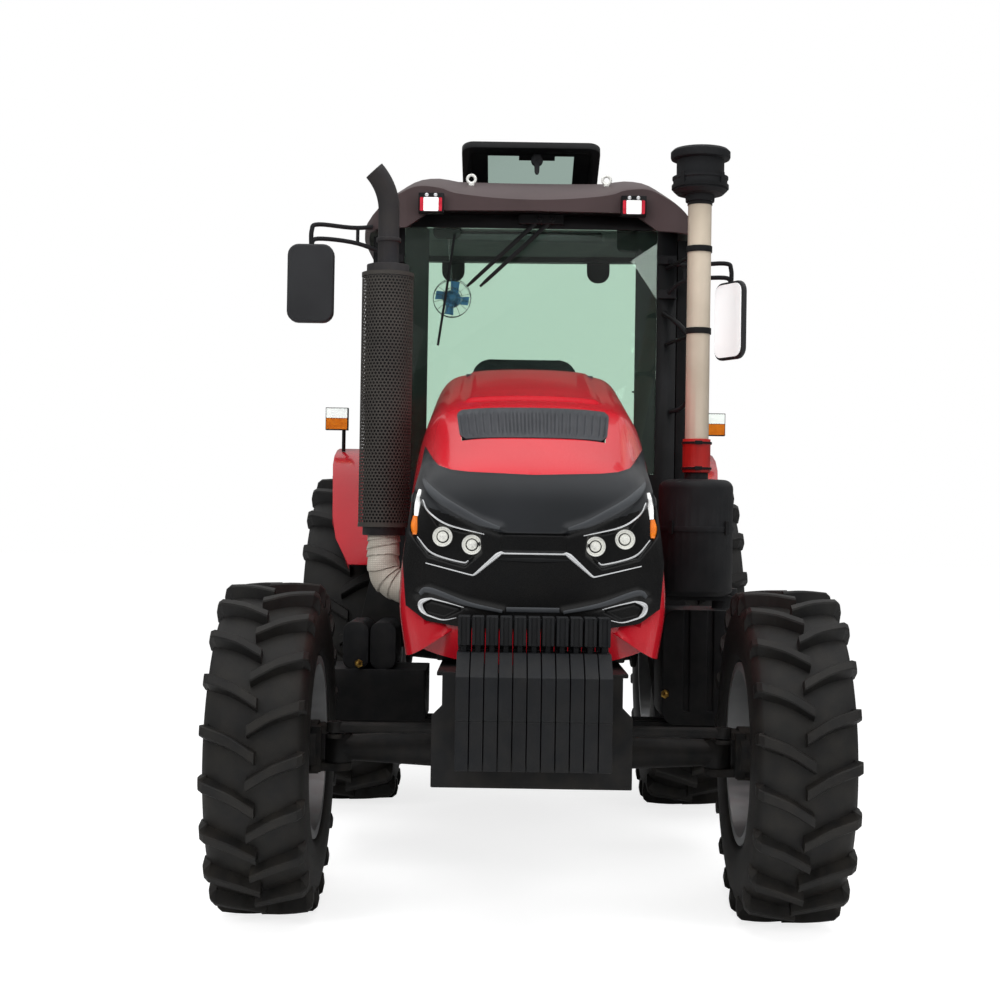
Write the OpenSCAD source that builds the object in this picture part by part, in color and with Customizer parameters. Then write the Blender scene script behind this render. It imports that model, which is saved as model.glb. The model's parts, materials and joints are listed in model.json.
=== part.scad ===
// Farm tractor with a cab, four driven wheels and a three-point hitch.
// Millimetres, +Z up. The tractor faces -Y and its left side is +X.

/* [Overall] */
// Distance between the front and rear axle centres
wheelbase = 2650; // [2500:10:2800]
// Front axle centre to the front faces of the weights
front_reach = 1050; // [1000:5:1150]
// Rear axle centre to the ends of the lower links
rear_reach = 1200; // [1120:10:1300]

/* [Front wheels] */
// Radius over the lugs of a front tyre
front_tyre_r = 635; // [620:5:650]
// Width over the lugs of a front tyre
front_tyre_w = 378; // [350:2:390]
// Middle of the tractor to the middle of a front tyre
front_wheel_x = 986; // [970:2:1020]
// Bead seat radius of a front rim
front_rim_r = 330; // [310:5:345]
// Width between the flanges of a front rim
front_rim_w = 318; // [290:2:330]
// Lugs on each side of a front tyre
front_lugs = 20; // [16:1:22]
// Height of a front lug over the casing
front_lug_h = 44; // [36:1:48]
// Radius of the front wheel spindle
front_spindle_r = 48; // [40:1:60]

/* [Rear wheels] */
// Radius over the lugs of a rear tyre
rear_tyre_r = 875; // [860:5:890]
// Width over the lugs of a rear tyre
rear_tyre_w = 467; // [440:1:475]
// Middle of the tractor to the middle of a rear tyre
rear_wheel_x = 896; // [890:1:920]
// Bead seat radius of a rear rim
rear_rim_r = 483; // [465:1:495]
// Width between the flanges of a rear rim
rear_rim_w = 406; // [380:2:414]
// Lugs on each side of a rear tyre
rear_lugs = 22; // [18:1:24]
// Height of a rear lug over the casing
rear_lug_h = 50; // [40:1:54]
// Radius of the rear axle shaft
rear_shaft_r = 48; // [40:1:60]

/* [Rims] */
// Wall of a rim's barrel and disc
rim_wall = 10; // [8:1:12]
// Height of a rim flange over the bead seat
rim_flange_h = 22; // [18:1:26]
// Radius of a wheel hub
hub_r = 120; // [105:1:130]
// Hand holes in a wheel disc
hand_holes = 8; // [6:1:10]
// Radius of a hand hole
hand_hole_r = 24; // [18:1:28]

/* [Front axle] */
// Middle of the tractor to a kingpin
kingpin_x = 735; // [725:1:745]
// Radius of a kingpin
kingpin_r = 22; // [18:1:26]
// Radius of the boss around a kingpin
kingpin_boss_r = 52; // [46:1:56]
// Height of the boss around a kingpin
kingpin_boss_h = 110; // [104:2:124]
// Height of the axle beam
axle_beam_h = 100; // [90:2:104]
// Radius of the differential housing
differential_r = 140; // [126:2:144]
// Length of a steering arm
steer_arm_l = 170; // [160:2:180]
// Radius of the steering rod
steer_rod_r = 20; // [14:1:22]
// Radius of the steering cylinder
steer_cylinder_r = 34; // [28:1:38]

/* [Chassis] */
// Width of the front support casting
support_w = 440; // [400:5:460]
// Width of the engine block
engine_w = 480; // [440:5:500]
// Length of the engine block
engine_l = 900; // [840:10:940]
// Height of the engine block over its foot
engine_h = 760; // [700:10:800]
// Width of the gearbox housing
gearbox_w = 400; // [360:5:430]
// Width of the rear axle's centre housing
centre_housing_w = 470; // [440:5:500]
// Width of the radiator
radiator_w = 700; // [640:10:740]

/* [Front weights] */
// Number of weights hung side by side
weights = 11; // [7:2:11]
// Pitch from one weight to the next
weight_pitch = 46.8; // [44:0.2:48]
// Slit between two weights
weight_slit = 1.6; // [1.2:0.2:3]
// Underside of the weights over the ground
weight_foot_z = 705; // [690:5:730]
// Height of a weight's body
weight_body_h = 378; // [350:2:400]
// Height of a weight's handle over its body
weight_handle_h = 118; // [100:2:130]
// Depth of a weight from front to back
weight_d = 290; // [270:5:310]
// Width of the plate behind the weights
bracket_w = 690; // [660:5:720]
// Lower edge of the plate behind the weights
bracket_foot_z = 605; // [590:5:640]

/* [Bonnet] */
// Front of the nose ahead of the front axle
nose_reach = 560; // [540:5:580]
// Widest half width of the bonnet
bonnet_half_w = 485; // [470:1:487]
// Thickness of the bonnet skin
bonnet_skin = 8; // [6:1:12]
// Height of the bonnet's top at the nose
bonnet_nose_z = 1700; // [1680:5:1720]
// Height of the bonnet's top at its crest over the front axle
bonnet_crest_z = 1990; // [1970:5:2010]
// Height of the bonnet's top at the cab
bonnet_rear_z = 2215; // [2200:5:2240]
// Lower edge of the nose
nose_foot_z = 1035; // [1030:5:1060]

/* [Exhaust] */
// Sideways place of the exhaust stack
exhaust_x = 603; // [600:1:620]
// Stack's place behind the front axle
exhaust_back = 400; // [380:5:430]
// Radius of the perforated heat shield
shield_r = 108; // [96:1:108]
// Lower end of the heat shield
shield_z0 = 1490; // [1470:5:1510]
// Upper end of the heat shield
shield_z1 = 2540; // [2500:5:2580]
// Thickness of the heat shield
shield_wall = 3; // [2:0.5:4]
// Radius of the muffler inside the shield
muffler_r = 88; // [80:1:90]
// Radius of the tail pipe
tail_pipe_r = 44; // [38:1:48]
// Height of the tail pipe's elbow centre
tail_pipe_z = 2800; // [2760:5:2830]

/* [Air intake] */
// Sideways place of the air cleaner
cleaner_x = 722; // [715:1:735]
// Air cleaner's place behind the front axle
cleaner_back = 720; // [700:5:740]
// Radius of the air cleaner housing
cleaner_r = 160; // [150:1:165]
// Lower end of the air cleaner housing
cleaner_z0 = 1215; // [1200:5:1230]
// Upper end of the air cleaner housing
cleaner_z1 = 1745; // [1730:5:1765]
// Radius of the intake pipe
intake_r = 51; // [45:1:55]
// Top of the intake pipe
intake_top_z = 2920; // [2880:5:2950]
// Radius of the pre-cleaner bowl
bowl_r = 108; // [98:1:112]
// Height of the pre-cleaner
bowl_h = 225; // [205:5:240]

/* [Cab] */
// Half width over the cab's doors
cab_half_w = 735; // [725:1:745]
// Windscreen's foot ahead of the rear axle
cab_front_reach = 1400; // [1390:5:1420]
// Door hinge line ahead of the rear axle
hinge_reach = 345; // [335:5:360]
// Rear of the cab behind the rear axle
cab_rear_reach = 450; // [430:5:470]
// Top of the cab floor
floor_z = 1400; // [1390:5:1420]
// Underside of the roof
roof_z = 2950; // [2920:5:2970]
// Thickness of a door
door_t = 50; // [40:1:54]
// Width of a door frame's bars
door_bar = 58; // [46:1:64]
// Thickness of the cab's panes
glass_t = 6; // [5:0.5:8]
// Width of a cab pillar
pillar_w = 90; // [76:1:96]

/* [Roof] */
// Overhang of the roof beside the doors
roof_side_over = 65; // [55:1:80]
// Height of the roof over the header rails
roof_h = 225; // [205:5:240]
// Overhang of the roof ahead of the windscreen
roof_front_over = 150; // [130:5:170]
// Overhang of the roof behind the rear window
roof_rear_over = 90; // [70:5:110]
// Width of the roof hatch
hatch_w = 690; // [660:5:710]
// Length of the roof hatch
hatch_l = 560; // [520:5:600]
// Thickness of the hatch frame
hatch_t = 34; // [28:1:38]
// Angle at which the hatch stands open
hatch_angle = 20; // [15:1:25]

/* [Fenders] */
// Room between a rear tyre and its fender
fender_room = 160; // [145:5:165]
// Outer edge of a fender
fender_outer_x = 1012; // [1000:2:1025]
// Thickness of a fender
fender_t = 8; // [6:1:10]
// Depth of the turned lip at a fender's outer edge
fender_lip = 60; // [40:2:70]

/* [Tank and boxes] */
// Inner side of the fuel tank
tank_x0 = 600; // [590:5:620]
// Outer side of the fuel tank
tank_x1 = 1020; // [990:5:1040]
// Underside of the fuel tank
tank_z0 = 640; // [620:5:660]
// Top of the fuel tank
tank_z1 = 1145; // [1120:5:1155]
// Length of the fuel tank
tank_l = 400; // [370:5:410]
// Ribs along the tank
tank_ribs = 4; // [3:1:5]
// Width of a step's tread
step_w = 300; // [260:5:320]

/* [Hitch] */
// Lower link pivots behind the rear axle
link_pivot_back = 230; // [215:5:245]
// Height of the lower link pivots
link_pivot_z = 560; // [550:5:580]
// Middle of the tractor to a lower link
link_x = 400; // [390:5:410]
// Radius of the hole in a lower link's ball
link_hole_r = 14.35; // [11:0.05:18.5]
// Length of a lift arm
lift_arm_l = 330; // [310:5:345]
// Radius of the drawbar's pin hole
drawbar_hole_r = 16; // [12:0.5:20]
// Radius of the power take-off stub
pto_r = 17.5; // [15:0.5:22.5]

/* [Hidden] */
$fn = 64;
arc_steps = 8;
// Overrun of every cut
over = 2;
// Least room between pieces that only lie against each other
gap = 0.3;
// Radial room of a running fit
run_gap = 0.05;
// Room around pieces that move
clear = 6;
overall_l = front_reach + wheelbase + rear_reach;
fa_y = front_reach - overall_l / 2;
ra_y = fa_y + wheelbase;
fa_z = front_tyre_r;
ra_z = rear_tyre_r;

// Planes of the cab
cab_front_y = ra_y - cab_front_reach;
door_hinge_y = ra_y - hinge_reach;
cab_rear_y = ra_y + cab_rear_reach;
floor_t = 40;
pillar_room = 5;
pillar_x1 = cab_half_w - door_t - pillar_room;
pillar_x0 = pillar_x1 - pillar_w;
arch_room = 125;
fender_r = rear_tyre_r + fender_room;
roof_half_w = cab_half_w + roof_side_over;
arch_r = fender_r + arch_room;
hinge_out = 10;
door_hinge_x = cab_half_w + hinge_out;
glass_in = 12;
door_room = 10;
roof_skirt_drop = 100;
roof_skirt_z = roof_z - roof_skirt_drop;
door_top_z = roof_skirt_z - clear;
skirt_t = 50;
roof_round = 320;
roof_round_drop = 60;
roof_round_z = roof_z - roof_round_drop;
roof_round_h = roof_z + roof_h - roof_round_z;
roof_brow = 420;
roof_tail = 260;
roof_lip_h = 40;
roof_lip_z = roof_z + roof_lip_h;
roof_corner = 170;
hatch_hinge_back = 1000;
hatch_hinge_y = cab_front_y + hatch_hinge_back;
hatch_hinge_z = roof_z + roof_h + clear + hatch_t / 2;
hatch_lap = 45;
hatch_bar = 48;
hatch_back = 22;
hatch_round = 60;
hatch_lug_x = 190;
hatch_lug_t = 22;
hatch_pin_r = 8;
handle_in = 14;
handle_l = 30;
handle_z = 1950;
handle_h = 160;
handle_out = 22;

// Points of an arc about c from angle a0 to a1
function arc(c, r, a0, a1, n = arc_steps) =
  [for (i = [0:n]) let (a = a0 + (a1 - a0) * i / n) [c[0] + r * cos(a), c[1] + r * sin(a)]];
// Outline of a rectangle from corner p to corner q with round corners
function rounded(p, q, r) = concat(
  arc([q[0] - r, q[1] - r], r, 0, 90), arc([p[0] + r, q[1] - r], r, 90, 180),
  arc([p[0] + r, p[1] + r], r, 180, 270), arc([q[0] - r, p[1] + r], r, 270, 360));

// Solid from a YZ outline between two X values
module along_x(x0, x1, pts)
  translate([x0, 0, 0]) rotate([90, 0, 90]) linear_extrude(x1 - x0) polygon(pts);
// Solid from an XZ outline between two Y values
module along_y(y0, y1, pts)
  translate([0, y1, 0]) rotate([90, 0, 0]) linear_extrude(y1 - y0) polygon(pts);
// Solid from an XY outline between two Z values
module along_z(z0, z1, pts)
  translate([0, 0, z0]) linear_extrude(z1 - z0) polygon(pts);
// Box between two corners
module box(p, q)
  translate(p) cube(q - p);
// Round bar between two points
module rod(a, b, r) {
  d = b - a;
  translate(a) rotate([0, acos(d[2] / norm(d)), atan2(d[1], d[0])]) cylinder(h = norm(d), r = r);
}
module both_sides() {
  children();
  mirror([1, 0, 0]) children();
}

// Wheels
lug_w_share = 0.23;
lug_root_share = 0.67;
// Lug stations: half width share, pitch share, drop share and root share of the lug height
lug_shares = [[-0.06, -0.36, 0, 1.25], [0.94, 0.24, 0.3, 1.25]];
// Casing outline from bead to crown: half width share and height share
casing_shares = [[1, 0.42], [0.96, 1]];
front_disc_x = 40;
front_hub_x0 = -58;
front_hub_x1 = 112;
rear_disc_x = -20;
rear_hub_x0 = -165;
rear_hub_x1 = 64;
hub_cap_t = 22;
disc_dish = 36;

// Front axle, knuckles and steering
ear_t = 30;
ear_room = 2;
web_room = 8;
web_t = 36;
web_half_d = 84;
carrier_r = 104;
hub_room = 6;
spindle_end_room = 3;
arm_t = 16;
arm_eye_r = 30;
arm_hole_r = 12;
rod_eye_h = 40;
trunnion_r = 62;
trunnion_front = 262;
trunnion_rear = 192;
hanger_t = 40;
hanger_r = 104;
beam_root_r = 78;
differential_neck_r = 96;
differential_neck_l = 180;
steer_cylinder_half_l = 250;
cylinder_bracket_half_w = 90;
cylinder_bracket_half_h = 28;
ear_z = kingpin_boss_h / 2 + ear_room;
arm_z = fa_z + ear_z;
rod_z = arm_z + arm_t + clear + rod_eye_h / 2;
web_x = kingpin_x + kingpin_boss_r + web_room;
carrier_x = front_wheel_x + front_hub_x0 - hub_room;
spindle_x = front_wheel_x + front_hub_x1 - hub_cap_t - spindle_end_room;
steer_rod_y = fa_y - steer_arm_l;
hanger_front_y = fa_y - trunnion_front + clear;

// Point of the tread at sideways place x, arc length s and radius rho
function tread_point(r, x, s, rho) =
  [x, rho * sin(s / r * 180 / PI), rho * cos(s / r * 180 / PI)];

// The four corners of a lug at one of its stations
function lug_corners(r, half_w, pitch, lug_h, st) = [
  for (top = [true, false])
    for (edge = [-1, 1])
      tread_point(r, st[0] * half_w, st[1] * pitch + edge * lug_w_share * pitch * (top
        ? 1 / 2 : lug_root_share),
        r - lug_h * (top ? st[2] : st[3]))
];

// One lug bar from the middle of the tread out to the shoulder
module lug(r, w, lugs, lug_h) {
  pitch = 2 * PI * r / lugs;
  ends = [for (st = lug_shares) each lug_corners(r, w / 2, pitch, lug_h, st)];
  hull() polyhedron(ends, [[0, 1, 3, 2], [0, 4, 5, 1], [1, 5, 7, 3], [3, 7, 6, 2], [2, 6, 4, 0],
    [4, 6, 7, 5]]);
}

// Tyre about the X axis: a low casing with two staggered rows of lugs
module tyre(r, w, bead_r, bead_w, lugs, lug_h) {
  seat_r = bead_r / cos(180 / lugs) + gap;
  lip_r = (bead_r + rim_flange_h + gap) / cos(180 / lugs);
  crown_r = r - lug_h;
  half_bead = bead_w / 2 - gap;
  side = [for (s = casing_shares) [seat_r + (crown_r - seat_r) * s[1], w / 2 * s[0]]];
  other = [for (i = [len(side) - 1:-1:0]) [side[i][0], -side[i][1]]];
  outline = concat([[seat_r, half_bead], [lip_r, half_bead]], side, other,
    [[lip_r, -half_bead], [seat_r, -half_bead]]);
  rotate([0, 90, 0])
    rotate_extrude($fn = lugs) polygon(outline);
  for (i = [0:lugs - 1]) {
    rotate([i * 360 / lugs, 0, 0])
      lug(r, w, lugs, lug_h);
    rotate([(i + 1 / 2) * 360 / lugs, 0, 0])
      mirror([1, 0, 0]) lug(r, w, lugs, lug_h);
  }
}

// Rim about the X axis, outer side towards +X: barrel, flanges, dished disc and hub
module rim(bead_r, bead_w, disc_x, hub_x0, hub_x1, bore_r) {
  barrel_r = bead_r - rim_wall;
  flange_x = bead_w / 2 + rim_wall;
  barrel = [
    [barrel_r, -flange_x], [bead_r + rim_flange_h, -flange_x], [bead_r + rim_flange_h, -bead_w / 2],
    [bead_r, -bead_w / 2], [bead_r, bead_w / 2], [bead_r + rim_flange_h, bead_w / 2],
    [bead_r + rim_flange_h, flange_x], [barrel_r, flange_x]
  ];
  disc = [
    [hub_r, disc_x], [barrel_r, disc_x + disc_dish],
    [barrel_r, disc_x + disc_dish + rim_wall], [hub_r, disc_x + rim_wall]
  ];
  hub = [
    [bore_r, hub_x0], [hub_r, hub_x0], [hub_r, hub_x1 - hub_cap_t], [hub_r - hub_cap_t, hub_x1],
    [0, hub_x1], [0, hub_x1 - hub_cap_t], [bore_r, hub_x1 - hub_cap_t]
  ];
  rotate([0, 90, 0]) {
    rotate_extrude() polygon(barrel);
    rotate_extrude() polygon(hub);
    difference() {
      rotate_extrude() polygon(disc);
      for (i = [0:hand_holes - 1])
        rotate([0, 0, (i + 1 / 2) * 360 / hand_holes])
          translate([(hub_r + barrel_r) / 2, 0, disc_x - over])
            cylinder(h = disc_dish + rim_wall + 2 * over, r = hand_hole_r);
    }
  }
}

module front_tyre_left() color("#1d1d1e")
  translate([front_wheel_x, fa_y, fa_z])
    tyre(front_tyre_r, front_tyre_w, front_rim_r, front_rim_w, front_lugs, front_lug_h);
module front_tyre_right() color("#1d1d1e")
  mirror([1, 0, 0]) front_tyre_left();
module front_rim_left() color("#a9aaab")
  translate([front_wheel_x, fa_y, fa_z])
    rim(front_rim_r, front_rim_w, front_disc_x, front_hub_x0, front_hub_x1, front_spindle_r + run_gap);
module front_rim_right() color("#a9aaab")
  mirror([1, 0, 0]) front_rim_left();
module rear_tyre_left() color("#1d1d1e")
  translate([rear_wheel_x, ra_y, ra_z])
    tyre(rear_tyre_r, rear_tyre_w, rear_rim_r, rear_rim_w, rear_lugs, rear_lug_h);
module rear_tyre_right() color("#1d1d1e")
  mirror([1, 0, 0]) rear_tyre_left();
module rear_rim_left() color("#a9aaab")
  translate([rear_wheel_x, ra_y, ra_z])
    rim(rear_rim_r, rear_rim_w, rear_disc_x, rear_hub_x0, rear_hub_x1, rear_shaft_r + run_gap);
module rear_rim_right() color("#a9aaab")
  mirror([1, 0, 0]) rear_rim_left();

// Axle beam turned about its own length, with its trunnion and the two kingpin bosses
module front_axle_beam() color("#202122") {
  end_r = axle_beam_h / 2 - ear_room;
  half = concat(
    arc([0, 0], differential_r, 90, asin(differential_neck_r / differential_r)),
    [[differential_neck_l, differential_neck_r], [differential_neck_l, beam_root_r], [kingpin_x, end_r]]);
  outline = concat([[-kingpin_x, 0]], [for (i = [len(half) - 1:-1:1]) [-half[i][0], half[i][1]]], half,
    [[kingpin_x, 0]]);
  difference() {
    union() {
      translate([0, fa_y, fa_z]) rotate([0, 90, 0]) rotate_extrude()
        polygon([for (p = outline) [p[1], p[0]]]);
      translate([0, fa_y + trunnion_rear, fa_z])
        rotate([90, 0, 0]) cylinder(h = trunnion_front + trunnion_rear, r = trunnion_r);
      both_sides()
        translate([kingpin_x, fa_y, fa_z - kingpin_boss_h / 2]) cylinder(h = kingpin_boss_h,
          r = kingpin_boss_r);
    }
    both_sides()
      translate([kingpin_x, fa_y, fa_z - kingpin_boss_h / 2 - over])
        cylinder(h = kingpin_boss_h + 2 * over, r = kingpin_r + run_gap);
  }
}

// Barrel of the steering cylinder on its bracket behind the front hanger
module steering_cylinder() color("#2a2b2c") difference() {
  union() {
    rod([-steer_cylinder_half_l, steer_rod_y, rod_z], [steer_cylinder_half_l, steer_rod_y, rod_z],
      steer_cylinder_r);
    box([-cylinder_bracket_half_w, hanger_front_y + hanger_t, rod_z - cylinder_bracket_half_h],
      [cylinder_bracket_half_w, steer_rod_y, rod_z + cylinder_bracket_half_h]);
  }
  rod([-steer_cylinder_half_l - over, steer_rod_y, rod_z], [steer_cylinder_half_l + over, steer_rod_y, rod_z],
    steer_rod_r + run_gap);
}

// Rod through the cylinder, with an eye over each steering arm
module steering_rod() color("#b9bcc0") difference() {
  union() {
    rod([-kingpin_x, steer_rod_y, rod_z], [kingpin_x, steer_rod_y, rod_z], steer_rod_r);
    both_sides()
      translate([kingpin_x, steer_rod_y, rod_z - rod_eye_h / 2]) cylinder(h = rod_eye_h, r = arm_eye_r);
  }
  both_sides()
    translate([kingpin_x, steer_rod_y, rod_z - rod_eye_h]) cylinder(h = 2 * rod_eye_h, r = arm_hole_r);
}

// Knuckle: two ears on the kingpin, web, hub carrier, spindle and steering arm
module front_knuckle_left() color("#26272a") {
  pin_half_h = ear_z + ear_t;
  translate([kingpin_x, fa_y, fa_z - pin_half_h]) cylinder(h = 2 * pin_half_h, r = kingpin_r);
  for (foot = [ear_z, -pin_half_h])
    translate([0, fa_y, fa_z + foot]) difference() {
      union() {
        translate([kingpin_x, 0, 0]) cylinder(h = ear_t, r = kingpin_boss_r);
        box([kingpin_x, -kingpin_boss_r, 0], [web_x + web_t / 2, kingpin_boss_r, ear_t]);
      }
      translate([kingpin_x, 0, -over]) cylinder(h = ear_t + 2 * over, r = kingpin_r - run_gap);
    }
  box([web_x, fa_y - web_half_d, fa_z - pin_half_h], [web_x + web_t, fa_y + web_half_d, fa_z + pin_half_h]);
  rod([web_x + web_t / 2, fa_y, fa_z], [carrier_x, fa_y, fa_z], carrier_r);
  rod([carrier_x - hub_room, fa_y, fa_z], [spindle_x, fa_y, fa_z], front_spindle_r);
  difference() {
    union() {
      box([kingpin_x - arm_eye_r, steer_rod_y, arm_z], [kingpin_x + arm_eye_r, fa_y - kingpin_r - run_gap,
        arm_z + arm_t]);
      translate([kingpin_x, steer_rod_y, arm_z]) cylinder(h = arm_t, r = arm_eye_r);
    }
    translate([kingpin_x, steer_rod_y, arm_z - over]) cylinder(h = arm_t + 2 * over, r = arm_hole_r);
  }
}
module front_knuckle_right() color("#26272a")
  mirror([1, 0, 0]) front_knuckle_left();

// Front support casting and weights
support_z0 = 780;
support_z1 = 985;
support_nose_drop = 75;
support_nose_l = 180;
tray_half_w = 330;
tray_t = 15;
tray_l = 520;
weight_front_y = -overall_l / 2;
bracket_y = weight_front_y + weight_d;
bracket_t = 30;
bracket_step_z = 850;
bracket_top_z = 1000;
bracket_step_w = 35;
weight_step = 6;
weight_step_z = 871;
weight_bevel_h = 72;
weight_bevel_d = 112;
handle_front = 150;
handle_lean = 22;
handle_d = 86;
handle_w_share = 0.58;
handle_slot_r = 15;
handle_slot_h_share = 0.34;

// Engine, radiator, gearbox and rear axle
engine_back = 250;
engine_front_y = fa_y + engine_back;
engine_rear_y = engine_front_y + engine_l;
engine_foot_z = 800;
sump_half_w = 150;
sump_z = 600;
sump_l = 480;
crankcase_h_share = 0.5;
head_w_share = 0.7;
cover_w_share = 0.46;
head_h_share = 0.86;
radiator_t = 110;
radiator_front = 285;
radiator_y = fa_y - radiator_front;
radiator_top_z = 1590;
radiator_bar = 40;
gearbox_z0 = 640;
gearbox_z1 = 1160;
gearbox_neck = 60;
housing_front = 260;
housing_rear = 230;
housing_z0 = 590;
housing_bevel = 90;
trumpet_r0 = 135;
trumpet_r1 = 100;
trumpet_x = 600;
trumpet_flange_r = 140;
trumpet_flange_t = 30;
shaft_x = rear_wheel_x + rear_hub_x1 - hub_cap_t - spindle_end_room;

// Tank, boxes, carriers and steps
carrier_h = 40;
carrier_w = 60;
carrier_inset = 100;
carrier_hanger_x = 150;
carrier_hanger_w = 60;
tank_room = 10;
tank_y1 = cab_front_y - tank_room;
tank_y0 = tank_y1 - tank_l;
tank_corner = 60;
tank_groove = 12;
tank_groove_w = 26;
filler_r = 52;
filler_h = 62;
filler_in = 130;
filler_cap_r = 62;
filler_cap_h = 30;
battery_x0 = 440;
battery_x1 = 880;
battery_z1 = 862;
battery_corner = 14;
tool_box_x0 = 575;
tool_box_x1 = 808;
tool_box_z1 = 1068;
tool_box_inset = 20;
tool_box_corner = 40;
tool_box_slit = 8;
step_room = 14;
step_y0 = tank_y1 + step_room;
step_z = 430;
step_t = 30;
step_rise = 300;
step_count = 3;
step_in_x = 660;
step_out_x = 900;
stringer_t = 12;
tread_d = 150;
stringer_top_x = 700;
stringer_root_x = 540;
stringer_root_h = 85;

// Front support with the tray under the nose and the axle's hangers
module chassis_frame() color("#222325") {
  bonnet_support();
  support_front_y = bracket_y + bracket_t;
  along_x(-support_w / 2, support_w / 2, [
    [support_front_y, support_z0 - support_nose_drop], [support_front_y, support_z1],
    [engine_front_y, support_z1], [engine_front_y, support_z0],
    [support_front_y + support_nose_l + support_nose_drop, support_z0],
    [support_front_y + support_nose_l, support_z0 - support_nose_drop]
  ]);
  box([-tray_half_w, support_front_y, support_z1],
    [tray_half_w, support_front_y + tray_l, support_z1 + tray_t]);
  for (y = [hanger_front_y, fa_y + trunnion_rear - clear - hanger_t])
    difference() {
      union() {
        translate([0, y + hanger_t, fa_z]) rotate([90, 0, 0]) cylinder(h = hanger_t, r = hanger_r);
        box([-hanger_r, y, fa_z], [hanger_r, y + hanger_t, support_z0]);
      }
      translate([0, y + hanger_t + over, fa_z]) rotate([90, 0, 0])
        cylinder(h = hanger_t + 2 * over, r = trunnion_r + gap);
    }
}

// Plate that the front weights hang on
module weight_bracket() color("#1c1d1f")
  along_y(bracket_y, bracket_y + bracket_t, [
    [-bracket_w / 2, bracket_foot_z], [bracket_w / 2, bracket_foot_z], [bracket_w / 2, bracket_step_z],
    [bracket_w / 2 - bracket_step_w, bracket_step_z + bracket_step_w],
    [bracket_w / 2 - bracket_step_w, bracket_top_z], [-bracket_w / 2 + bracket_step_w, bracket_top_z],
    [-bracket_w / 2 + bracket_step_w, bracket_step_z + bracket_step_w], [-bracket_w / 2, bracket_step_z]
  ]);

// One suitcase weight between x0 and x1 with its slotted handle
module suitcase_weight(x0, x1) {
  top_z = weight_foot_z + weight_body_h;
  handle_w = (x1 - x0) * handle_w_share;
  mid_x = (x0 + x1) / 2;
  along_x(x0, x1, [
    [weight_front_y + weight_step, weight_foot_z],
      [weight_front_y + weight_step, weight_step_z - weight_step],
    [weight_front_y, weight_step_z], [weight_front_y, top_z - weight_bevel_h],
    [weight_front_y + weight_bevel_d, top_z], [bracket_y, top_z], [bracket_y, weight_foot_z]
  ]);
  difference() {
    along_x(mid_x - handle_w / 2, mid_x + handle_w / 2, [
      [weight_front_y + handle_front, top_z],
      [weight_front_y + handle_front - handle_lean, top_z + weight_handle_h],
      [weight_front_y + handle_front - handle_lean + handle_d, top_z + weight_handle_h],
      [weight_front_y + handle_front + handle_d, top_z]
    ]);
    translate([x0, weight_front_y + handle_front + handle_d / 2,
      top_z + weight_handle_h * handle_slot_h_share])
      rotate([0, 90, 0]) cylinder(h = x1 - x0, r = handle_slot_r);
  }
}

module front_weights() color("#3a3d42")
  for (i = [0:weights - 1]) {
    x = (i - weights / 2) * weight_pitch;
    suitcase_weight(x + weight_slit / 2, x + weight_pitch - weight_slit / 2);
  }

// Engine as one block: crankcase, head, valve cover and sump
module engine_block() color("#2b2d30") {
  radiator();
  half = engine_w / 2;
  head_half = half * head_w_share;
  cover_half = half * cover_w_share;
  case_z = engine_foot_z + engine_h * crankcase_h_share;
  head_z = engine_foot_z + engine_h * head_h_share;
  top_z = engine_foot_z + engine_h;
  along_y(engine_front_y, engine_rear_y, [
    [-half, engine_foot_z], [half, engine_foot_z], [half, case_z], [head_half, case_z], [head_half, head_z],
    [cover_half, head_z], [cover_half, top_z], [-cover_half, top_z], [-cover_half, head_z],
    [-head_half, head_z], [-head_half, case_z], [-half, case_z]
  ]);
  box([-sump_half_w, engine_front_y, sump_z], [sump_half_w, engine_front_y + sump_l, engine_foot_z]);
}

// Radiator in its frame on the tray behind the nose
module radiator() {
  half = radiator_w / 2;
  z0 = support_z1 + tray_t;
  difference() {
    box([-half, radiator_y, z0], [half, radiator_y + radiator_t, radiator_top_z]);
    box([-half + radiator_bar, radiator_y - over, z0 + radiator_bar],
      [half - radiator_bar, radiator_y + radiator_bar, radiator_top_z - radiator_bar]);
  }
}

// Gearbox between the engine and the rear axle
module gearbox() color("#26282b") {
  half = gearbox_w / 2;
  along_y(engine_rear_y, ra_y - housing_front, [
    [-half + gearbox_neck, gearbox_z0], [half - gearbox_neck, gearbox_z0], [half, gearbox_z0 + gearbox_neck],
    [half, gearbox_z1], [-half, gearbox_z1], [-half, gearbox_z0 + gearbox_neck]
  ]);
}

// Rear axle: centre housing, trumpets and the two shafts
module rear_axle_housing() color("#26282b") {
  y0 = ra_y - housing_front;
  y1 = ra_y + housing_rear;
  along_x(-centre_housing_w / 2, centre_housing_w / 2, [
    [y0, housing_z0 + housing_bevel], [y0 + housing_bevel, housing_z0], [y1 - housing_bevel, housing_z0],
    [y1, housing_z0 + housing_bevel], [y1, gearbox_z1], [y0, gearbox_z1]
  ]);
  both_sides() {
    translate([centre_housing_w / 2, ra_y, ra_z]) rotate([0, 90, 0])
      cylinder(h = trumpet_x - centre_housing_w / 2, r1 = trumpet_r0, r2 = trumpet_r1);
    rod([trumpet_x, ra_y, ra_z], [trumpet_x + trumpet_flange_t, ra_y, ra_z], trumpet_flange_r);
    rod([trumpet_x + trumpet_flange_t, ra_y, ra_z], [shaft_x, ra_y, ra_z], rear_shaft_r);
  }
}

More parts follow.
